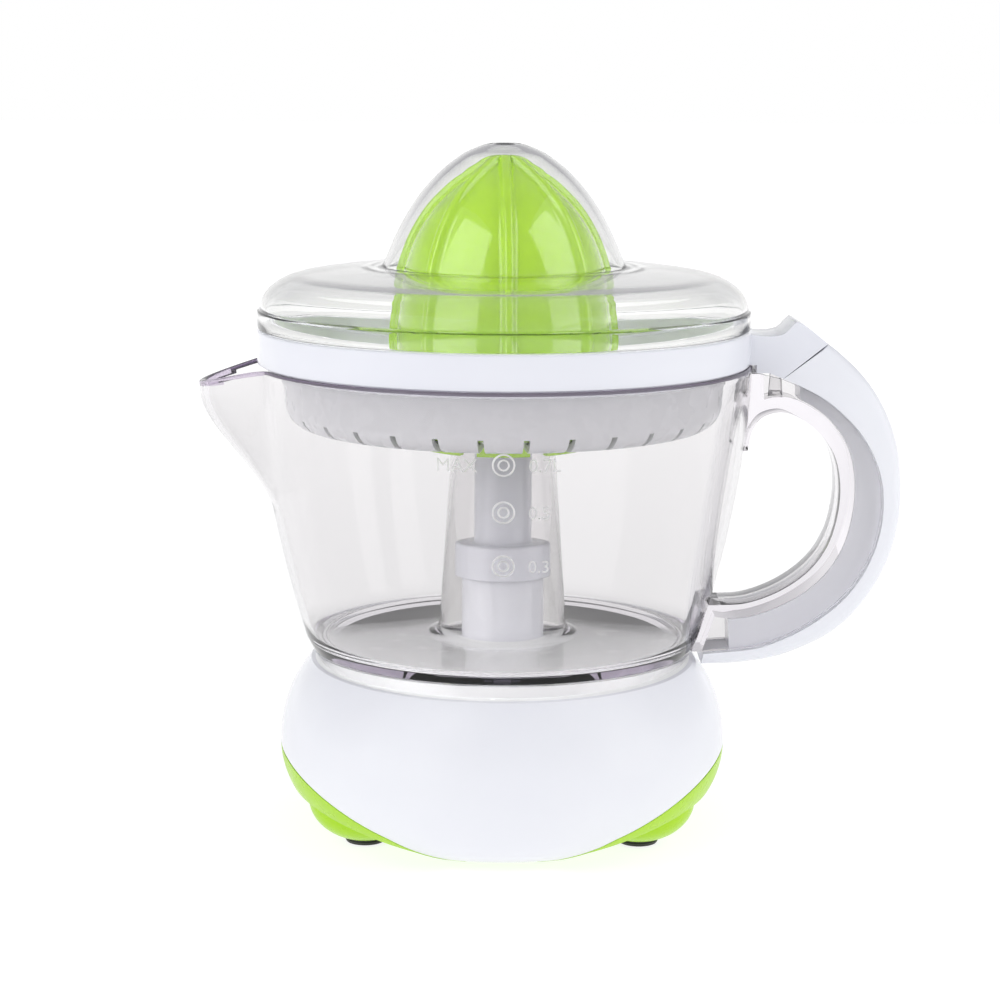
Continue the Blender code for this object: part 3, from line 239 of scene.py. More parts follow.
def clear_plastic(name, thickness_tint, density, roughness, surface, through=1.0, mirror=1.0):
    """Clear moulding: tinted through its thickness, with its share of mirror-like surface."""
    material, tree, shader = finish_of(name, surface, roughness, IOR=1.47,
                                       Transmission_Weight=through, Specular_IOR_Level=0.5)
    shader.inputs["Specular Tint"].default_value = (mirror, mirror, mirror, 1.0)
    path = tree.nodes.new("ShaderNodeLightPath")
    passing = tree.nodes.new("ShaderNodeBsdfTransparent")
    passing.inputs["Color"].default_value = (0.98, 0.98, 0.98, 1.0)
    mix = tree.nodes.new("ShaderNodeMixShader")
    tree.links.new(path.outputs["Is Shadow Ray"], mix.inputs["Fac"])
    tree.links.new(shader.outputs["BSDF"], mix.inputs[1])
    tree.links.new(passing.outputs["BSDF"], mix.inputs[2])
    tree.links.new(mix.outputs["Shader"], tree.nodes["Material Output"].inputs["Surface"])
    absorb = tree.nodes.new("ShaderNodeVolumeAbsorption")
    absorb.inputs["Color"].default_value = (*thickness_tint, 1.0)
    absorb.inputs["Density"].default_value = density
    tree.links.new(absorb.outputs["Volume"], tree.nodes["Material Output"].inputs["Volume"])
    ripple(tree, shader, object_noise(tree, 60.0, 2.0), 0.04, 0.0002)
    return material


def metal(name, first, second, low, high, lay=(1.0, 1.0, 1.0), scale=900.0, bump=0.10):
    """Machined or drawn metal with a lay of fine lines and uneven dullness."""
    material, tree, shader = finish_of(name, first, low, Metallic=1.0)
    lines = object_noise(tree, scale, 3.0, 0.6, lay)
    tree.links.new(tint(tree, object_noise(tree, 120.0, 3.0), first, second), shader.inputs["Base Color"])
    tree.links.new(spread(tree, lines, low, high), shader.inputs["Roughness"])
    ripple(tree, shader, lines, bump, 0.00005)
    return material


def matt_moulding(name, first, second, low, high, scale=1400.0, bump=0.25):
    """Textured plastic or rubber."""
    material, tree, shader = finish_of(name, first, low, IOR=1.48)
    grain = object_noise(tree, scale, 3.0, 0.6)
    tree.links.new(tint(tree, object_noise(tree, 90.0, 3.0), first, second), shader.inputs["Base Color"])
    tree.links.new(spread(tree, grain, low, high), shader.inputs["Roughness"])
    ripple(tree, shader, grain, bump, 0.0001)
    return material


def wound_copper(name):
    """Varnished wire laid in even turns round the leg."""
    material, tree, shader = finish_of(name, (0.62, 0.26, 0.11), 0.3, Metallic=1.0, Coat_Weight=0.5,
                                       Coat_Roughness=0.2)
    place = tree.nodes.new("ShaderNodeTexCoord")
    wires = tree.nodes.new("ShaderNodeTexWave")
    wires.bands_direction = "X"
    wires.inputs["Scale"].default_value = 600.0
    wires.inputs["Distortion"].default_value = 0.6
    wires.inputs["Detail"].default_value = 1.0
    tree.links.new(place.outputs["Object"], wires.inputs["Vector"])
    tree.links.new(tint(tree, wires.outputs["Fac"], (0.20, 0.06, 0.03), (0.72, 0.33, 0.14), 0.1, 0.7),
                   shader.inputs["Base Color"])
    ripple(tree, shader, wires.outputs["Fac"], 0.5, 0.0002)
    return material


def stacked_iron(name):
    """Punched laminations, seen as thin layers at the edges."""
    material, tree, shader = finish_of(name, (0.32, 0.33, 0.35), 0.4, Metallic=1.0)
    place = tree.nodes.new("ShaderNodeTexCoord")
    layers = tree.nodes.new("ShaderNodeTexWave")
    layers.bands_direction = "Z"
    layers.inputs["Scale"].default_value = 320.0
    layers.inputs["Distortion"].default_value = 0.3
    tree.links.new(place.outputs["Object"], layers.inputs["Vector"])
    tree.links.new(tint(tree, layers.outputs["Fac"], (0.16, 0.16, 0.17), (0.40, 0.41, 0.43), 0.1, 0.6),
                   shader.inputs["Base Color"])
    ripple(tree, shader, layers.outputs["Fac"], 0.4, 0.0001)
    return material


# One white plastic: the shades stand in for how much light each part of it catches here.
WHITE = moulded_gloss("white_gloss", (0.73, 0.74, 0.80), (0.76, 0.77, 0.82), 0.09, 0.13, 0.40, 0.0)
# Lighter copy of the white for the base's belly and the handle's cover: painted light for the light they
# catch.
WHITE_PAINTED_LIT = moulded_gloss("white_painted_lit", (0.78, 0.79, 0.84), (0.81, 0.82, 0.86), 0.09, 0.13, 0.40, 0.0)
# Much lighter copy for the deck under the jug, also rougher: painted light for the light that reaches it
# through the clear jug.
WHITE_DECK_PAINTED_LIT = moulded_gloss("white_deck_painted_lit", (0.92, 0.94, 0.93), (0.94, 0.95, 0.95), 0.20, 0.28, 0.30, 0.0)
# Darker copy for the strainer's bowl: painted shade for the shade the bowl sits in inside the jug, with a
# rougher, duller surface as well.
WHITE_SATIN_PAINTED_SHADE = moulded_gloss("white_satin_painted_shade", (0.62, 0.62, 0.64), (0.65, 0.65, 0.67), 0.24, 0.32, 0.25, 0.0)
LIME = moulded_gloss("lime_gloss", (0.33, 0.58, 0.006), (0.37, 0.62, 0.010), 0.08, 0.12, 0.8, 1.0)
LIME_SATIN = moulded_gloss("lime_satin", (0.38, 0.66, 0.016), (0.42, 0.70, 0.022), 0.24, 0.32, 0.22, 0.0)
JUG_TINT = (0.62, 0.54, 0.68)
JUG_DENSITY = 14.0
CLEAR_MIRROR = 0.55
JUG_CLEAR = clear_plastic("jug_clear", JUG_TINT, JUG_DENSITY, 0.015, (0.885, 0.88, 0.88), 1.0, CLEAR_MIRROR)
# Duller, darker purple clear for the jug's rim and the handle's root: painted shade for the dark lines that
# refraction draws along these edges.
JUG_EDGE_PAINTED_SHADE = clear_plastic("jug_edge_painted_shade", JUG_TINT, JUG_DENSITY, 0.10, (0.72, 0.65, 0.76), 0.85)
MARK_CLEAR = clear_plastic("mark_clear", JUG_TINT, JUG_DENSITY, 0.30, (0.80, 0.80, 0.80), 0.8)
LID_CLEAR = clear_plastic("lid_clear", (0.66, 0.68, 0.66), 5.0, 0.015, (0.965, 0.965, 0.96), 1.0,
                          CLEAR_MIRROR)
RUBBER = matt_moulding("foot_rubber", (0.016, 0.018, 0.014), (0.026, 0.028, 0.022), 0.42, 0.6)
STEEL = metal("drawn_steel", (0.56, 0.57, 0.59), (0.66, 0.66, 0.67), 0.18, 0.34, (1.0, 1.0, 0.06))
BRASS = metal("cut_brass", (0.72, 0.54, 0.22), (0.80, 0.62, 0.30), 0.2, 0.34, (1.0, 1.0, 0.1))
BRONZE = metal("sintered_bronze", (0.48, 0.31, 0.16), (0.60, 0.42, 0.24), 0.35, 0.6, bump=0.3)
COPPER = wound_copper("wound_copper")
IRON = stacked_iron("stacked_iron")
FERRITE = matt_moulding("ferrite", (0.045, 0.045, 0.05), (0.075, 0.073, 0.075), 0.35, 0.6, 700.0, 0.4)
NYLON = matt_moulding("natural_nylon", (0.78, 0.76, 0.68), (0.84, 0.82, 0.75), 0.3, 0.45, 900.0, 0.1)
BLACK = matt_moulding("black_moulding", (0.020, 0.020, 0.023), (0.032, 0.032, 0.036), 0.38, 0.55)
RED = matt_moulding("red_button", (0.55, 0.02, 0.015), (0.62, 0.04, 0.02), 0.3, 0.45, 900.0, 0.1)


# ---------------------------------------------------------------- base
def shoulder(z):
    return 69.3 - 39.4 + math.sqrt(39.4 ** 2 - (z - 27.2) ** 2)


def belly(z):
    return 69.3 - 26.25 + math.sqrt(26.25 ** 2 - (z - 27.2) ** 2)


def side_radius(z):
    return shoulder(z) if z > 27.2 else belly(z)


def arch_line(half_width, spring, rise, power, pieces=160):
    """Angle round the side and height of each point where an arch crosses the belly of the base."""
    line = []
    for i in range(pieces + 1):
        a = math.pi / 2 * (1 - i / pieces)
        z = spring + rise * math.sin(a) ** (2 / power)
        line.append((math.asin(min(half_width * math.cos(a) ** (2 / power) / side_radius(z), 1.0)), z))
    return line


ARCH_TOP = arch_line(55.5, 4.0, 23.0, 2.0)
ARCH_FOOT = arch_line(53.5, 2.0, 12.2, 2.6)


def arch_height(angle, line):
    """Height of an arch at an angle from the handle's side or the spout's side."""
    away = abs(math.atan2(math.sin(angle), abs(math.cos(angle))))
    for (first, high), (second, low) in zip(line, line[1:]):
        if second >= away:
            return high + (low - high) * (away - first) / max(second - first, 1e-6)
    return line[-1][1]


def white_edge(angle):
    away = abs(math.atan2(math.sin(angle), abs(math.cos(angle))))
    fade = min(max((math.radians(72) - away) / math.radians(14), 0.0), 1.0)
    return 2.6 + (arch_height(angle, ARCH_TOP) - 2.6) * fade ** 0.5


def upper_casing():
    """White casing: belly with two side arches, ledge for the jug, raised deck and tower."""
    shape = bmesh.new()
    rim = [(7.0, 84.0)] + corner((7.0, 84.0), (12.5, 84.0), (12.5, 60.0), 1.2)
    rim += corner((12.5, 84.0), (12.5, 58.2), (54.0, 58.2), 3.0, 6)
    rim += corner((12.5, 58.2), (54.7, 58.2), (54.9, 53.4), 0.5)
    rim += [(54.75, 53.4), (58.2, 53.4)]
    side = [53.2 - 0.25 * i for i in range(3)] + [52.3 - 1.1 * i for i in range(46)]
    inner_rows = [4.6 + (50.8 - 4.6) * i / 12 for i in range(13)]
    profile = rim + [(side_radius(z), z) for z in side]
    profile += [(side_radius(z) - 2.4, z) for z in inner_rows]
    profile += [(52.0, 51.0), (52.0, 55.1), (14.5, 55.1), (10.1, 58.0), (10.1, 81.6), (7.0, 81.6)]
    turn_profile(shape, profile, 256)
    top = side[0]
    bottom = side[-1]
    for vert in shape.verts:
        reach = math.hypot(vert.co.x, vert.co.y)
        if vert.co.z > top + 0.01 or reach < 47.0:
            continue
        angle = math.atan2(vert.co.y, vert.co.x)
        edge = white_edge(angle)
        outer = abs(reach - side_radius(vert.co.z)) < 0.3
        z = vert.co.z
        if outer:
            share = (top - z) / (top - bottom)
            z = top + (edge - top) * share
            reach_new = side_radius(z)
            if share > 0.999:
                reach_new -= 0.25
        else:
            share = (50.8 - z) / (50.8 - 4.6)
            z = 50.8 + (edge + 0.5 - 50.8) * share
            reach_new = side_radius(z) - 2.4
        scale = reach_new / reach
        vert.co = Vector((vert.co.x * scale, vert.co.y * scale, z))
    # The belly takes the lighter copy of the white, which is painted light.
    piece = finished("base_top", shape, "base", WHITE_PAINTED_LIT, 40)
    # The deck's upward faces take the much lighter white, which is painted light.
    piece.data.materials.append(WHITE_DECK_PAINTED_LIT)
    for face in piece.data.polygons:
        spot = (face.center - AXIS) * 1000
        on_deck = 53.0 < spot.z < 60.0 and 13.5 < math.hypot(spot.x, spot.y) < 58.3
        face.material_index = int(on_deck and face.normal.z > -0.3)
    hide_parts("upper_casing")
    return piece


def lower_casing():
    """Lime block with a shelf, bands that fill the arches, and four foot pods.

    The block and the pods are solid here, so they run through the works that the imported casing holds.
    """
    shape = bmesh.new()
    for side in (0.0, math.pi):
        reach = math.radians(78)
        rows, cols = 14, 120
        before = set(shape.verts)
        bmesh.ops.create_grid(shape, x_segments=cols, y_segments=rows, size=1.0)
        made = [v for v in shape.verts if v not in before]
        for vert in made:
            away = vert.co.x * reach
            high = white_edge(away) - 0.22
            low = min(arch_height(away, ARCH_FOOT), high - 0.4)
            z = low + (high - low) * (vert.co.y + 1) / 2
            radius = side_radius(z) - 0.06
            vert.co = Vector((radius * math.cos(side + away), radius * math.sin(side + away), z))
        faces = [f for f in shape.faces if all(v in set(made) for v in f.verts)]
        bmesh.ops.recalc_face_normals(shape, faces=faces)
        if sum(f.normal.dot(f.calc_center_median()) for f in faces) < 0:
            bmesh.ops.reverse_faces(shape, faces=faces)
        bmesh.ops.solidify(shape, geom=faces, thickness=2.4)
    tub = rounded([(0.0, 16.4), (62.9, 16.4), (62.9, 14.0), (50.6, 14.0), (50.6, 4.6), (0.0, 4.6)],
                  [0, 0.6, 0.6, 1.2, 1.6, 0])
    turn_profile(shape, tub, 160)
    for sx in (-1, 1):
        for sy in (-1, 1):
            before = set(shape.verts)
            bmesh.ops.create_uvsphere(shape, u_segments=64, v_segments=40, radius=1.0)
            made = [v for v in shape.verts if v not in before]
            for vert in made:
                z = 14.0 + 13.2 * vert.co.z
                vert.co = Vector((sx * 41.7 + 17.3 * vert.co.x, sy * 23.4 + 17.3 * vert.co.y, max(z, 1.9)))
    piece = finished("base_bottom", shape, "base", LIME_SATIN, 40)
    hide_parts("lower_casing")


def feet():
    """Rubber discs with two grooves round the side and a dimple underneath."""
    for node in ("foot_front_left", "foot_front_right", "foot_rear_left", "foot_rear_right"):
        place = (middle(node) - AXIS) * 1000
        shape = bmesh.new()
        side = [(0.0, 3.5), (6.0, 3.5), (6.2, 3.2), (6.2, 2.7), (5.95, 2.55), (5.95, 2.3), (6.2, 2.15),
                (6.2, 1.6), (5.95, 1.45), (5.95, 1.2), (6.2, 1.05), (6.15, 0.5), (5.9, 0.12), (5.5, 0.0),
                (3.2, 0.0), (2.8, 0.5), (0.0, 0.6)]
        turn_profile(shape, side, 56, (place.x, place.y))
        piece = finished(f"pad_{node[5:]}", shape, "base", RUBBER, 30)
        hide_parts(node)


def cord_inlet():
    """Ribbed rubber gland in the back of the base."""
    shape = bmesh.new()
    ring = [(2.6, 71.2), (5.2, 71.2), (5.9, 70.9), (6.2, 70.3), (6.2, 69.75), (5.0, 69.6), (5.0, 59.0),
            (2.6, 59.0)]
    turn_profile(shape, rounded(ring, 0.15), 48)
    bmesh.ops.rotate(shape, verts=shape.verts, matrix=Matrix.Rotation(-math.pi / 2, 3, "X"))
    bmesh.ops.translate(shape, verts=shape.verts, vec=(0, 0, 22.0))
    piece = finished("cord_inlet", shape, "base", RUBBER, 30)
    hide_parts("cord_gland")


# ---------------------------------------------------------------- spindle
def drive_shaft():
    """Drip cap over the tower, smooth shaft and hexagon drive tip."""
    shape = bmesh.new()
    line = [(0.0, 137.0), (8.3, 137.0)] + corner((0, 137.0), (8.8, 137.0), (8.8, 120.0), 0.8)
    line += corner((8.8, 120.0), (8.8, 90.0), (14.6, 90.0), 1.4)
    line += corner((8.8, 90.0), (14.6, 90.0), (14.6, 79.7), 0.9)
    line += [(14.6, 79.9), (14.4, 79.7), (13.1, 79.7), (13.1, 88.0), (0.0, 88.0)]
    turn_profile(shape, line, 96)
    before = set(shape.verts)
    bmesh.ops.create_cone(shape, cap_ends=True, segments=6, radius1=6.2, radius2=6.2, depth=30.0)
    made = [v for v in shape.verts if v not in before]
    bmesh.ops.rotate(shape, verts=made, matrix=Matrix.Rotation(math.radians(10), 3, "Z"))
    bmesh.ops.translate(shape, verts=made, vec=(0, 0, 150.0))
    edges = {e for v in made for e in v.link_edges}
    soften(shape, edges, 0.5, 2)
    piece = finished("drive_shaft", shape, "spindle", WHITE, 40)
    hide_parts("drive_spindle")


# ---------------------------------------------------------------- jug
def jug_side(z):
    share = (145.1 - z) / 90.0
    return 75.75 - 3.53 * share - 13.1 * share ** 2


def spout_share(point):
    """How far round towards the middle of the spout a point is, from 0 to 1."""
    turned = min(abs(math.atan2(point.y, -point.x)) / math.radians(25), 1.0)
    return (0.5 + 0.5 * math.cos(math.pi * turned)) ** 1.25


def pour_out(point):
    """Draw the upper wall out into the spout and dip its lip."""
    side = spout_share(point)
    if point.z <= 101.0 or math.hypot(point.x, point.y) < 61.0:
        return point
    up = min((point.z - 101.0) / 38.1, 1.0)
    out = Vector((point.x, point.y, 0)).normalized() * 17.5 * side * math.sin(math.pi / 2 * up) ** 1.5
    return point + out - Vector((0, 0, 6.0 * side * max((point.z - 101.0) / 44.1, 0.0) ** 3))


GRIP_INSIDE = flow([(74.2, 119.0), (75.6, 125.2), (79.2, 129.6), (86.0, 130.6), (94.5, 125.8),
                    (100.8, 117.5), (102.8, 106.0), (100.7, 92.9), (95.0, 83.0), (86.0, 75.9), (75.5, 71.7),
                    (66.0, 70.9)], 8)
GRIP_SEAM = flow([(84.2, 140.9), (90.8, 138.1), (97.2, 134.6), (103.3, 129.6), (108.4, 124.0),
                  (112.3, 117.4), (114.7, 110.4), (115.5, 103.6), (115.1, 96.1), (113.2, 88.2),
                  (109.7, 80.6), (105.0, 74.1), (98.9, 68.5), (92.8, 64.3), (86.7, 61.1), (77.4, 57.8),
                  (61.8, 56.2)], 4)
COVER_BACK = flow([(98.0, 151.5), (101.5, 148.9), (107.9, 142.9), (113.1, 136.2), (117.5, 127.6),
                   (120.3, 118.1), (121.4, 107.6), (120.8, 96.4), (118.4, 86.4), (114.0, 77.0),
                   (107.4, 68.0), (99.3, 61.2), (86.0, 55.2), (73.0, 52.8), (61.4, 52.2)], 5)
ROOT_CUT = [(61.3, 55.0), (65.5, 66.9)]


def jug():
    shape = bmesh.new()
    heights = [143.8 - 1.4 * i for i in range(60)]
    outside = corner((72.9, 145.1), (75.72, 145.1), (75.6, 141.0), 0.9, 5)
    outside += [(jug_side(z), z) for z in heights]
    foot = corner((jug_side(57.0), 57.0), (57.25, 53.9), (55.0, 53.9), 0.6)
    under = [(55.05, 53.9), (55.5, 57.4)] + corner((55.3, 54.5), (55.6, 58.7), (50.0, 58.7), 1.0)
    column_in = corner((50.0, 58.7), (21.0, 58.7), (18.0, 64.0), 2.5) + [(12.8, 130.0)]
    column_in += [(10.0, 131.8), (10.0, 134.0)]
    column_out = corner((10.0, 134.0), (15.0, 134.0), (15.2, 130.0), 1.0)
    column_out += corner((15.0, 132.0), (19.9, 60.9), (40.0, 60.9), 4.0, 6)
    inside = corner((30.0, 60.9), (jug_side(60.9) - 2.2, 60.9), (jug_side(70) - 2.2, 70.0), 3.5, 6)
    inside += [(jug_side(z) - 2.2, z) for z in reversed(heights) if z > 65.5]
    inside += corner((73.3, 143.5), (73.5, 145.1), (75.0, 145.1), 0.8, 5)
    turn_profile(shape, outside + foot + under + column_in + column_out + inside, 192)
    for vert in shape.verts:
        vert.co = pour_out(vert.co)
    piece = finished("clear_jug", shape, "jug", JUG_CLEAR, 40)
    carve(piece, [handle_bar()], "UNION", 40)
    carve(piece, [handle_hollow()], "DIFFERENCE", 40)
    piece.data.materials.clear()
    piece.data.materials.append(JUG_CLEAR)
    # The rim and the handle's root faces take the darker purple clear, which is painted shade.
    piece.data.materials.append(JUG_EDGE_PAINTED_SHADE)
    low, high = Vector(ROOT_CUT[0]), Vector(ROOT_CUT[1])
    across = (high - low).normalized()
    for face in piece.data.polygons:
        spot = (face.center - AXIS) * 1000
        lip = spout_share(spot)
        rim = spot.z > 144.1 - 6.8 * lip and math.hypot(spot.x, spot.y) > 73.0
        root = (Vector((spot.x, spot.z)) - low).cross(across)
        on_root = abs(root) < 0.1 and abs(spot.y) < 6.7 and 54 < spot.z < 67
        face.material_index = int(rim or on_root)
    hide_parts("jug")
    return piece


def handle_bar():
    """Clear half of the handle, a U-shaped channel open towards its white cover."""
    shape = bmesh.new()
    top = [(jug_side(119.0) - 1.4, 118.8), (jug_side(142.0) - 1.4, 142.5), (77.0, 142.6)]
    bottom = [(jug_side(57.0) - 1.4, 56.2), (jug_side(70.8) - 1.4, 70.9)]
    slab(shape, top + GRIP_SEAM + bottom + GRIP_INSIDE[::-1], 9.0)
    inside = {(round(x, 3), round(z, 3)) for x, z in GRIP_INSIDE[1:-1]}
    edges = [e for e in shape.edges
             if all((round(v.co.x, 3), round(v.co.z, 3)) in inside for v in e.verts)
             and abs(e.verts[0].co.y - e.verts[1].co.y) < 0.01]
    soften(shape, edges, 1.8, 4)
    return finished("handle_bar", shape, None, JUG_CLEAR)


def handle_hollow():
    shape = bmesh.new()
    floor_line = beside(GRIP_INSIDE, -4.6)[18:-2]
    outer_line = [(78.6, 144.0)] + beside(GRIP_SEAM, -4.0)[1:-1]
    slab(shape, outer_line + ROOT_CUT + floor_line[::-1], 6.6)
    return finished("handle_hollow", shape, None, JUG_CLEAR)


def raised_ring(shape, centre_z, radius, wire=0.28):
    """A thin ring standing on the front of the jug's wall."""
    before = set(shape.verts)
    verts = [shape.verts.new((radius + wire * math.cos(a), 0.0, wire * math.sin(a)))
             for a in (TURN * i / 8 for i in range(8))]
    edges = [shape.edges.new((verts[i - 1], verts[i])) for i in range(8)]
    bmesh.ops.spin(shape, geom=verts + edges, cent=(0, 0, 0), axis=(0, 0, 1), angle=TURN, steps=36,
                   use_merge=True)
    made = [v for v in shape.verts if v not in before]
    for vert in made:
        x, z, stand = vert.co.x, centre_z + vert.co.y, vert.co.z
        reach = jug_side(z) + stand
        vert.co = Vector((reach * math.sin(x / reach), -reach * math.cos(x / reach), z))


def raised_text(shape, words, left, base_z, size):
    """Raised characters wrapped on the front of the jug's wall."""
    curve = bpy.data.curves.new("characters", "FONT")
    curve.body = words
    curve.size = size
    curve.extrude = 0.22
    curve.resolution_u = 3
    helper = bpy.data.objects.new("characters", curve)
    scene.collection.objects.link(helper)
    bpy.context.view_layer.update()
    mesh = bpy.data.meshes.new_from_object(helper.evaluated_get(bpy.context.evaluated_depsgraph_get()))
    before = set(shape.verts)
    shape.from_mesh(mesh)
    made = [v for v in shape.verts if v not in before]
    bmesh.ops.remove_doubles(shape, verts=made, dist=1e-4)
    made = [v for v in shape.verts if v not in before]
    for vert in made:
        x, z, stand = left + vert.co.x, base_z + vert.co.y, vert.co.z
        reach = jug_side(z) + stand + 0.02
        vert.co = Vector((reach * math.sin(x / reach), -reach * math.cos(x / reach), z))
    bpy.data.objects.remove(helper, do_unlink=True)
    bpy.data.meshes.remove(mesh)


def graduations():
    """Level marks: a pair of rings at each level with its volume beside it."""
    shape = bmesh.new()
    for z in (125.0, 111.4, 95.6):
        raised_ring(shape, z, 1.45)
        raised_ring(shape, z, 3.0)
    raised_text(shape, "0.7L", 6.9, 123.0, 5.4)
    raised_text(shape, "MAX", -19.0, 123.0, 5.4)
    raised_text(shape, "0.5", 6.9, 109.4, 5.2)
    raised_text(shape, "0.3", 6.9, 93.6, 5.2)
    piece = finished("level_marks", shape, "jug", MARK_CLEAR, 40)


def cover_post():
    """Clear tapered boss in the top of the handle, which locates the cover."""
    shape = bmesh.new()
    turn_profile(shape, [(0.0, 141.8)] + corner((0, 141.8), (1.7, 141.8), (2.3, 134.6), 0.3)
                 + [(2.3, 134.9), (0.0, 134.9)], 40, (83.1, 0.0))
    piece = finished("cover_post", shape, "jug", JUG_CLEAR, 40)


def handle_cover():
    """White cover on the back of the handle, solid here, with a tongue that fills the channel."""
    shape = bmesh.new()
    inside = beside(GRIP_SEAM, -0.35)
    slab(shape, COVER_BACK + inside[::-1], 10.8)
    back = {(round(x, 3), round(z, 3)) for x, z in COVER_BACK}
    edges = [e for e in shape.edges
             if all((round(v.co.x, 3), round(v.co.z, 3)) in back for v in e.verts)
             and abs(e.verts[0].co.y - e.verts[1].co.y) < 0.01]
    soften(shape, edges, 3.2, 6)
    # The cover takes the lighter copy of the white, which is painted light.
    piece = finished("grip_cover", shape, "jug", WHITE_PAINTED_LIT, 40)
    tongue = bmesh.new()
    slab(tongue, beside(GRIP_SEAM, -1.5)[3:-2] + beside(GRIP_INSIDE, -5.0)[26:-3][::-1], 6.2)
    carve(piece, [finished("cover_tongue", tongue, None, WHITE_PAINTED_LIT)], "UNION", 40)
    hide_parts("handle_cover")


# ---------------------------------------------------------------- strainer and pulp disc
SLOTS = 32
PER_SLOT = 6


def slotted(shape, profile, inner, outer, width, phase):
    """Turn an open profile and open a radial slot in every sector between two radii."""
    verts = [shape.verts.new((r, 0.0, z)) for r, z in profile]
    edges = [shape.edges.new(pair) for pair in zip(verts, verts[1:])]
    before = set(shape.verts) - set(verts)
    bmesh.ops.spin(shape, geom=verts + edges, cent=(0, 0, 0), axis=(0, 0, 1), angle=TURN,
                   steps=SLOTS * PER_SLOT, use_merge=True)
    made = [v for v in shape.verts if v not in before]
    step = TURN / (SLOTS * PER_SLOT)
    for vert in made:
        radius = math.hypot(vert.co.x, vert.co.y)
        place = round(math.atan2(vert.co.y, vert.co.x) / step)
        sector, within = divmod(place, PER_SLOT)
        half = math.asin(min(width / 2 / max(radius, width), 0.9))
        spare = (TURN / SLOTS - 2 * half) / (PER_SLOT - 1)
        angle = sector * TURN / SLOTS + phase + (-half if within == 0 else half + (within - 1) * spare)
        vert.co = Vector((radius * math.cos(angle), radius * math.sin(angle), vert.co.z))
    gone = []
    for face in {f for v in made for f in v.link_faces}:
        centre = face.calc_center_median()
        radius = math.hypot(centre.x, centre.y)
        angle = (math.atan2(centre.y, centre.x) - phase) % (TURN / SLOTS)
        off = min(angle, TURN / SLOTS - angle) * radius
        if inner(centre, radius) and outer(centre, radius) and off < width * 0.3:
            gone.append(face)
    bmesh.ops.delete(shape, geom=gone, context="FACES")
    return made


def strainer():
    """White ring and bowl with slots round the floor's edge, hub over the column and thumb rest."""
    shape = bmesh.new()
    floor_z = 128.2
    bowl = [(28.2, floor_z), (33.0, floor_z), (39.0, floor_z)]
    bowl += [(39.0 + (56.5 - 39.0) * i / 8, floor_z) for i in range(1, 9)]
    bowl += corner((56.5, floor_z), (64.2, floor_z + 0.2), (64.7, 136.0), 5.6, 8)
    bowl += [(64.8, 138.5), (65.1, 141.5), (65.3, 144.2)]
    made = slotted(shape, bowl, lambda c, r: r > 39.0, lambda c, r: c.z < 131.6, 1.7,
                   math.pi / SLOTS)
    faces = list(shape.faces)
    bmesh.ops.recalc_face_normals(shape, faces=faces)
    if sum(f.normal.z for f in faces) < 0:
        bmesh.ops.reverse_faces(shape, faces=faces)
    bmesh.ops.solidify(shape, geom=faces, thickness=2.2)
    ring = rounded([(71.2, 155.6), (75.0, 155.6), (75.0, 145.4), (73.0, 145.4), (72.4, 143.6),
                    (67.2, 142.6), (65.1, 142.8), (65.3, 144.4), (70.0, 145.8)],
                   [0.5, 0.8, 0.4, 0.2, 0.4, 0.4, 0.2, 0.2, 1.0])
    turn_profile(shape, ring, 192)
    hub = [(9.6, 142.4)] + corner((9.6, 142.4), (18.6, 142.4), (24.4, 128.7), 1.6)
    hub += [(24.4, 128.7), (24.4, 126.0), (22.2, 126.0), (16.4, 140.2), (9.6, 140.2)]
    turn_profile(shape, hub, 96)
    for i in range(8):
        before = set(shape.verts)
        bmesh.ops.create_cube(shape, size=1.0)
        made = [v for v in shape.verts if v not in before]
        bmesh.ops.scale(shape, verts=made, vec=(6.0, 1.6, 1.8))
        bmesh.ops.translate(shape, verts=made, vec=(26.2, 0, 127.1))
        turn = math.pi / 8 + math.radians(2.8125) + TURN * i / 8
        bmesh.ops.rotate(shape, verts=made, matrix=Matrix.Rotation(turn, 3, "Z"))
    top = flow([(72.8, 155.0), (79.0, 154.1), (84.0, 154.8), (86.8, 157.4), (88.5, 158.4),
                (92.5, 156.0), (97.5, 151.9)], 6)
    rest = top + [(84.35, 141.35), (80.0, 143.0), (76.2, 143.0), (76.2, 145.4), (72.8, 145.4)]
    before_edges = set(shape.edges)
    slab(shape, rest, 10.8)
    crest = {(round(x, 3), round(z, 3)) for x, z in top[1:]}
    edges = [e for e in shape.edges if e not in before_edges
             and all((round(v.co.x, 3), round(v.co.z, 3)) in crest for v in e.verts)
             and abs(e.verts[0].co.y - e.verts[1].co.y) < 0.01]
    soften(shape, edges, 2.6, 5)
    piece = finished("strainer_bowl", shape, "strainer", WHITE, 40, solid=False)
    # The bowl's faces take the darker white, which is painted shade, and are rougher.
    piece.data.materials.append(WHITE_SATIN_PAINTED_SHADE)
    for face in piece.data.polygons:
        spot = (face.center - AXIS) * 1000
        in_bowl = spot.z < 142.9 and 27.0 < math.hypot(spot.x, spot.y) < 68.5
        face.material_index = int(in_bowl)
    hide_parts("strainer")


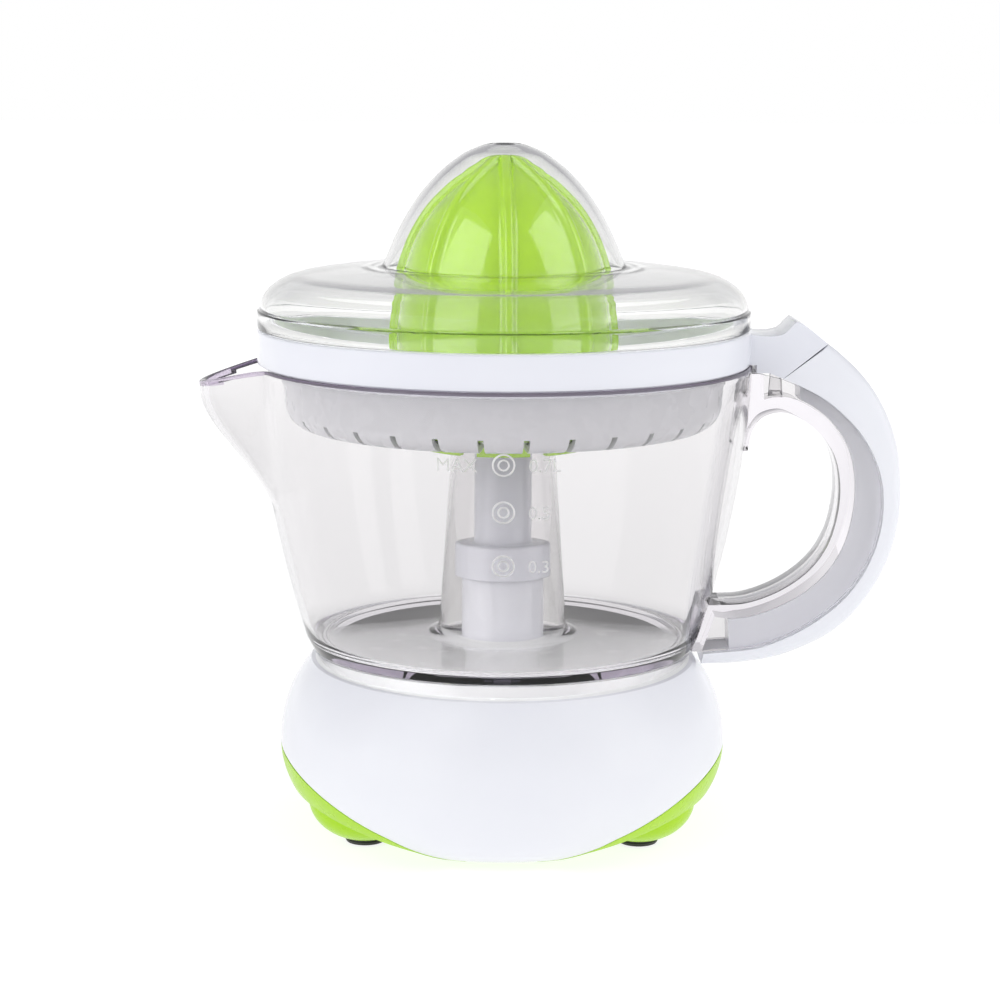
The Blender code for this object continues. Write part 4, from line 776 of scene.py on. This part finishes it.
def pulp_disc():
    """Lime disc on the strainer's floor, its collar hanging between the hub's spokes."""
    shape = bmesh.new()
    plate = [(25.0, 130.2), (32.0, 130.2), (39.0, 130.2), (46.0, 130.2), (53.5, 130.2), (57.5, 130.2)]
    plate += [(60.2, 130.9), (61.9, 132.4), (62.6, 134.8)]
    slotted(shape, plate, lambda c, r: r > 39.0, lambda c, r: r < 53.5, 1.7, 0.0)
    faces = list(shape.faces)
    bmesh.ops.recalc_face_normals(shape, faces=faces)
    if sum(f.normal.z for f in faces) < 0:
        bmesh.ops.reverse_faces(shape, faces=faces)
    bmesh.ops.solidify(shape, geom=faces, thickness=1.6)
    collar = [(25.0, 128.9), (27.5, 128.9), (27.5, 119.9), (27.3, 119.7), (25.2, 119.7), (25.0, 119.9)]
    before = set(shape.verts)
    verts = [shape.verts.new((r, 0.0, z)) for r, z in collar]
    ring = [shape.edges.new((verts[i - 1], verts[i])) for i in range(len(verts))]
    for i in range(8):
        start = math.pi / 8 + math.radians(5.75) + TURN * i / 8
        copy = bmesh.ops.duplicate(shape, geom=verts + ring)["geom"]
        bmesh.ops.rotate(shape, verts=[g for g in copy if isinstance(g, bmesh.types.BMVert)],
                         matrix=Matrix.Rotation(start, 3, "Z"))
        first = [g for g in copy if isinstance(g, bmesh.types.BMEdge)]
        swept = bmesh.ops.spin(shape, geom=copy, cent=(0, 0, 0), axis=(0, 0, 1),
                               angle=math.radians(33.5), steps=10)
        last = [g for g in swept["geom_last"] if isinstance(g, bmesh.types.BMEdge)]
        bmesh.ops.edgeloop_fill(shape, edges=first)
        bmesh.ops.edgeloop_fill(shape, edges=last)
    bmesh.ops.delete(shape, geom=verts, context="VERTS")
    made = [v for v in shape.verts if v not in before]
    bmesh.ops.recalc_face_normals(shape, faces=list({f for v in made for f in v.link_faces}))
    before = set(shape.verts)
    bmesh.ops.create_cube(shape, size=1.0)
    made = [v for v in shape.verts if v not in before]
    bmesh.ops.scale(shape, verts=made, vec=(2.0, 8.0, 3.6))
    bmesh.ops.translate(shape, verts=made, vec=(0, -56.0, 131.7))
    piece = finished("turning_disc", shape, "pulp_disc", LIME, 35, solid=False)
    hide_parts("pulp_disc")


# ---------------------------------------------------------------- cones and lid
RIB_TURN = math.radians(2.5)


def ribbed_cone(name, body, node, outer, underside, rib_height, rib_half, fillet, rib_foot):
    """A pointed dome whose ribs rise out of it with soft roots and run down to its flange."""
    shape = bmesh.new()
    turn_profile(shape, outer + underside, 288)
    foot = rib_foot
    for vert in shape.verts:
        radius = math.hypot(vert.co.x, vert.co.y)
        if vert.co.z < foot or radius < 0.4 or not near_line(radius, vert.co.z, outer):
            continue
        spacing = TURN / 8
        angle = math.atan2(vert.co.y, vert.co.x) + math.pi / 2 - RIB_TURN
        off = (angle + spacing / 2) % spacing - spacing / 2
        pulled = math.copysign(abs(off / (spacing / 2)) ** 1.8, off) * spacing / 2
        turned = math.atan2(vert.co.y, vert.co.x) - off + pulled
        away = abs(pulled) * radius
        if away < rib_half:
            rise = 1.0 - 0.12 * (away / rib_half) ** 4
        elif away < rib_half + fillet:
            rise = 0.88 * (1 - (away - rib_half) / fillet) ** 2.2
        else:
            rise = 0.0
        rise *= rib_height * min(max((radius - 0.9) / 1.8, 0.0), 1.0)
        fade = min((vert.co.z - foot) / 0.8, 1.0)
        out = along_normal(radius, vert.co.z, outer)
        radius += rise * out[0] * fade
        vert.co = Vector((radius * math.cos(turned), radius * math.sin(turned),
                          vert.co.z + rise * out[1] * fade))
    piece = finished(name, shape, body, LIME, 50)
    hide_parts(node)


def near_line(radius, z, line):
    return any(abs(radius - r) < 0.02 and abs(z - h) < 0.02 for r, h in line)


def along_normal(radius, z, line):
    best = min(range(len(line)), key=lambda i: abs(line[i][0] - radius) + abs(line[i][1] - z))
    before, after = line[max(best - 1, 0)], line[min(best + 1, len(line) - 1)]
    along = (Vector(after) - Vector(before)).normalized()
    return (-along.y, along.x)


def dome_line(radius, top, height, low, flare, power=0.92, pieces=30):
    line = [(0.0, top)]
    for i in range(1, pieces + 1):
        a = math.pi / 2 * i / pieces
        line.append((radius * math.sin(a) ** power, top - height * (1 - math.cos(a))))
    drop = line[-1][1]
    return line + [(radius + flare * i / 12, drop + (low - drop) * i / 12) for i in range(1, 13)]


def cones():
    outer = flow([(0.0, 206.5), (2.6, 206.1), (6.2, 204.0), (10.8, 201.2), (16.2, 197.1), (21.2, 192.2),
                  (24.8, 187.3), (27.5, 182.4), (29.5, 177.4), (30.9, 172.6), (31.9, 167.0), (32.5, 162.0),
                  (33.1, 155.5), (33.4, 151.0)], 5)
    flange = corner((33.5, 152.0), (33.7, 148.9), (46.0, 148.7), 1.6)
    flange += corner((34.0, 148.8), (46.0, 148.5), (46.0, 147.4), 0.5) + [(46.0, 147.5), (31.0, 147.5)]
    flange += [(31.0, 149.6), (27.5, 149.6), (27.5, 151.2), (31.6, 151.6)]
    flange += [(r, z) for r, z in beside(outer, 1.6)[::-1][4:] if r > 1.0] + [(0.0, 204.8)]
    ribbed_cone("reaming_cone", "large_cone", "large_cone", outer, flange, 1.8, 1.1, 1.6, 149.4)
    small = dome_line(23.0, 187.6, 29.6, 149.6, 0.6)
    under = [(30.0, 149.0), (30.0, 147.3), (20.8, 147.3), (19.8, 158.0), (13.8, 170.0), (8.6, 173.2),
             (8.6, 147.3), (6.5, 147.3), (6.5, 165.3), (0.0, 165.3)]
    ribbed_cone("small_reaming_cone", "small_cone", "small_cone", small, under, 1.3, 0.8, 1.4, 149.2)


def lid():
    """Clear dome over the cones with a seam at its shoulder and a thicker lower edge."""
    shape = bmesh.new()
    peak = flow([(0.0, 211.3), (2.8, 211.2), (5.6, 210.75), (10.7, 208.9), (14.4, 206.6), (17.6, 204.2),
                 (20.4, 201.7), (24.5, 197.2), (28.0, 192.4), (31.0, 187.4), (33.4, 182.6),
                 (35.4, 178.0), (36.8, 174.9)], 4)
    seam = [(37.4, 174.3), (38.4, 174.15), (40.0, 174.2)]
    top = flow([(42.0, 174.15), (50.0, 173.6), (58.0, 172.7), (63.75, 171.7), (67.4, 170.3),
                (70.1, 168.6), (72.0, 166.9), (73.3, 165.0), (74.0, 163.1), (74.3, 161.4)], 4)
    edge = [(74.85, 161.0), (74.9, 158.0)] + corner((74.9, 158.0), (74.9, 155.9), (73.0, 155.9), 0.5)
    outer = peak + seam + top + edge
    inner = [(73.1, 155.95), (72.6, 158.0), (72.4, 161.4)] + beside(top, 1.8)[::-1][1:]
    inner += [(39.0, 172.3), (36.4, 172.5)] + [(r, z) for r, z in beside(peak, 1.8)[::-1] if r > 0.6]
    inner += [(0.0, 209.5)]
    turn_profile(shape, outer + inner, 192)
    piece = finished("dome_lid", shape, "lid", LID_CLEAR, 35)
    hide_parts("lid")


# ---------------------------------------------------------------- pieces kept from the frame
KEPT = {
    STEEL: ["casing_screw_1", "casing_screw_2", "casing_screw_3", "gearbox_screw_1", "gearbox_screw_2",
            "gearbox_screw_3", "idler_pin", "motor_screw_1", "motor_screw_2", "motor_strap", "return_spring",
            "rotor_shaft", "spindle_rod"],
    BRASS: ["rotor_pinion"],
    BRONZE: ["lower_bush", "rotor_bush", "upper_bush"],
    COPPER: ["coil_front", "coil_rear"],
    IRON: ["stator_core"],
    FERRITE: ["magnet_rotor"],
    NYLON: ["hub_bush", "idler_gear", "output_gear"],
    BLACK: ["gearbox_cover", "gearbox_housing", "switch_body"],
    RED: ["switch_button"],
}


def kept_pieces():
    for material, names in KEPT.items():
        for name in names:
            mesh = nodes[name].data
            mesh.materials.clear()
            mesh.materials.append(material)


# ---------------------------------------------------------------- studio
def studio_floor():
    shape = bmesh.new()
    bmesh.ops.create_grid(shape, x_segments=1, y_segments=1, size=12.0)
    bmesh.ops.translate(shape, verts=shape.verts, vec=(0, 0, -0.0002))
    mesh = bpy.data.meshes.new("studio_floor")
    shape.to_mesh(mesh)
    shape.free()
    material, tree, shader = finish_of("floor_paper", (0.25, 0.25, 0.25), 0.9)
    shader.inputs["Emission Color"].default_value = (1.0, 1.0, 1.0, 1.0)
    place = tree.nodes.new("ShaderNodeTexCoord")
    reach = tree.nodes.new("ShaderNodeVectorMath")
    reach.operation = "LENGTH"
    tree.links.new(place.outputs["Object"], reach.inputs[0])
    glow = spread(tree, reach.outputs["Value"], 0.84, 1.02, 0.30, 1.2)
    tree.links.new(glow, shader.inputs["Emission Strength"])
    mesh.materials.append(material)
    floor = bpy.data.objects.new("studio_floor", mesh)
    scene.collection.objects.link(floor)


BOX_DISTANCE = 1.1
BOX_HEIGHT = 0.75
BOX_TALL = 1.5
AIM_HEIGHT = 0.35
FILL_RADIANCE = 1.2
SHINE_RADIANCE = 6.5


def softbox(name, angle, width, radiance):
    """A tall panel light at an angle from the camera's side, positive to the right."""
    data = bpy.data.lights.new(name, "AREA")
    data.shape = "RECTANGLE"
    data.size = width
    data.size_y = BOX_TALL
    data.energy = radiance * width * BOX_TALL * math.pi
    lamp = bpy.data.objects.new(name, data)
    a = math.radians(angle)
    place = Vector((math.sin(a) * BOX_DISTANCE, -math.cos(a) * BOX_DISTANCE, BOX_HEIGHT)) + AXIS
    lamp.location = place
    aim = (Vector((AXIS.x, 0, AIM_HEIGHT)) - place).to_track_quat("-Z", "Y")
    lamp.rotation_euler = aim.to_euler()
    scene.collection.objects.link(lamp)
    return lamp


def studio_light():
    world = bpy.data.worlds.new("studio")
    scene.world = world
    world.use_nodes = True
    tree = world.node_tree
    place = tree.nodes.new("ShaderNodeTexCoord")
    split = tree.nodes.new("ShaderNodeSeparateXYZ")
    ramp = tree.nodes.new("ShaderNodeValToRGB")
    ramp.color_ramp.elements[0].position = 0.06
    ramp.color_ramp.elements[0].color = (1.0, 1.0, 1.0, 1.0)
    ramp.color_ramp.elements[1].position = 0.40
    ramp.color_ramp.elements[1].color = (0.46, 0.46, 0.48, 1.0)
    tree.links.new(place.outputs["Generated"], split.inputs["Vector"])
    tree.links.new(split.outputs["Z"], ramp.inputs["Fac"])
    tree.links.new(ramp.outputs["Color"], tree.nodes["Background"].inputs["Color"])
    tree.nodes["Background"].inputs["Strength"].default_value = 1.0
    for name, angle, width in (("left", -51, 1.05), ("right", 72, 0.95)):
        fill = softbox(f"fill_{name}", angle, width, FILL_RADIANCE)
        fill.visible_glossy = False
        shine = softbox(f"shine_{name}", angle, width, SHINE_RADIANCE)
        shine.visible_diffuse = False
    scene.view_settings.view_transform = "Standard"


EYE = (-0.00096, -0.7071, 0.2297)
DOWN = 10.247
ROLL = 0.254
LENS = 83.7


def camera():
    data = bpy.data.cameras.new("camera")
    data.lens = LENS
    data.sensor_width = 36.0
    data.clip_start = 0.01
    view = bpy.data.objects.new("camera", data)
    view.location = Vector(EYE) + AXIS
    view.rotation_euler = (Matrix.Rotation(math.radians(90 - DOWN), 4, "X")
                           @ Matrix.Rotation(math.radians(ROLL), 4, "Z")).to_euler()
    scene.collection.objects.link(view)
    scene.camera = view


upper_casing()
lower_casing()
feet()
cord_inlet()
drive_shaft()
jug()
graduations()
cover_post()
handle_cover()
strainer()
pulp_disc()
cones()
lid()
kept_pieces()
studio_floor()
studio_light()
camera()
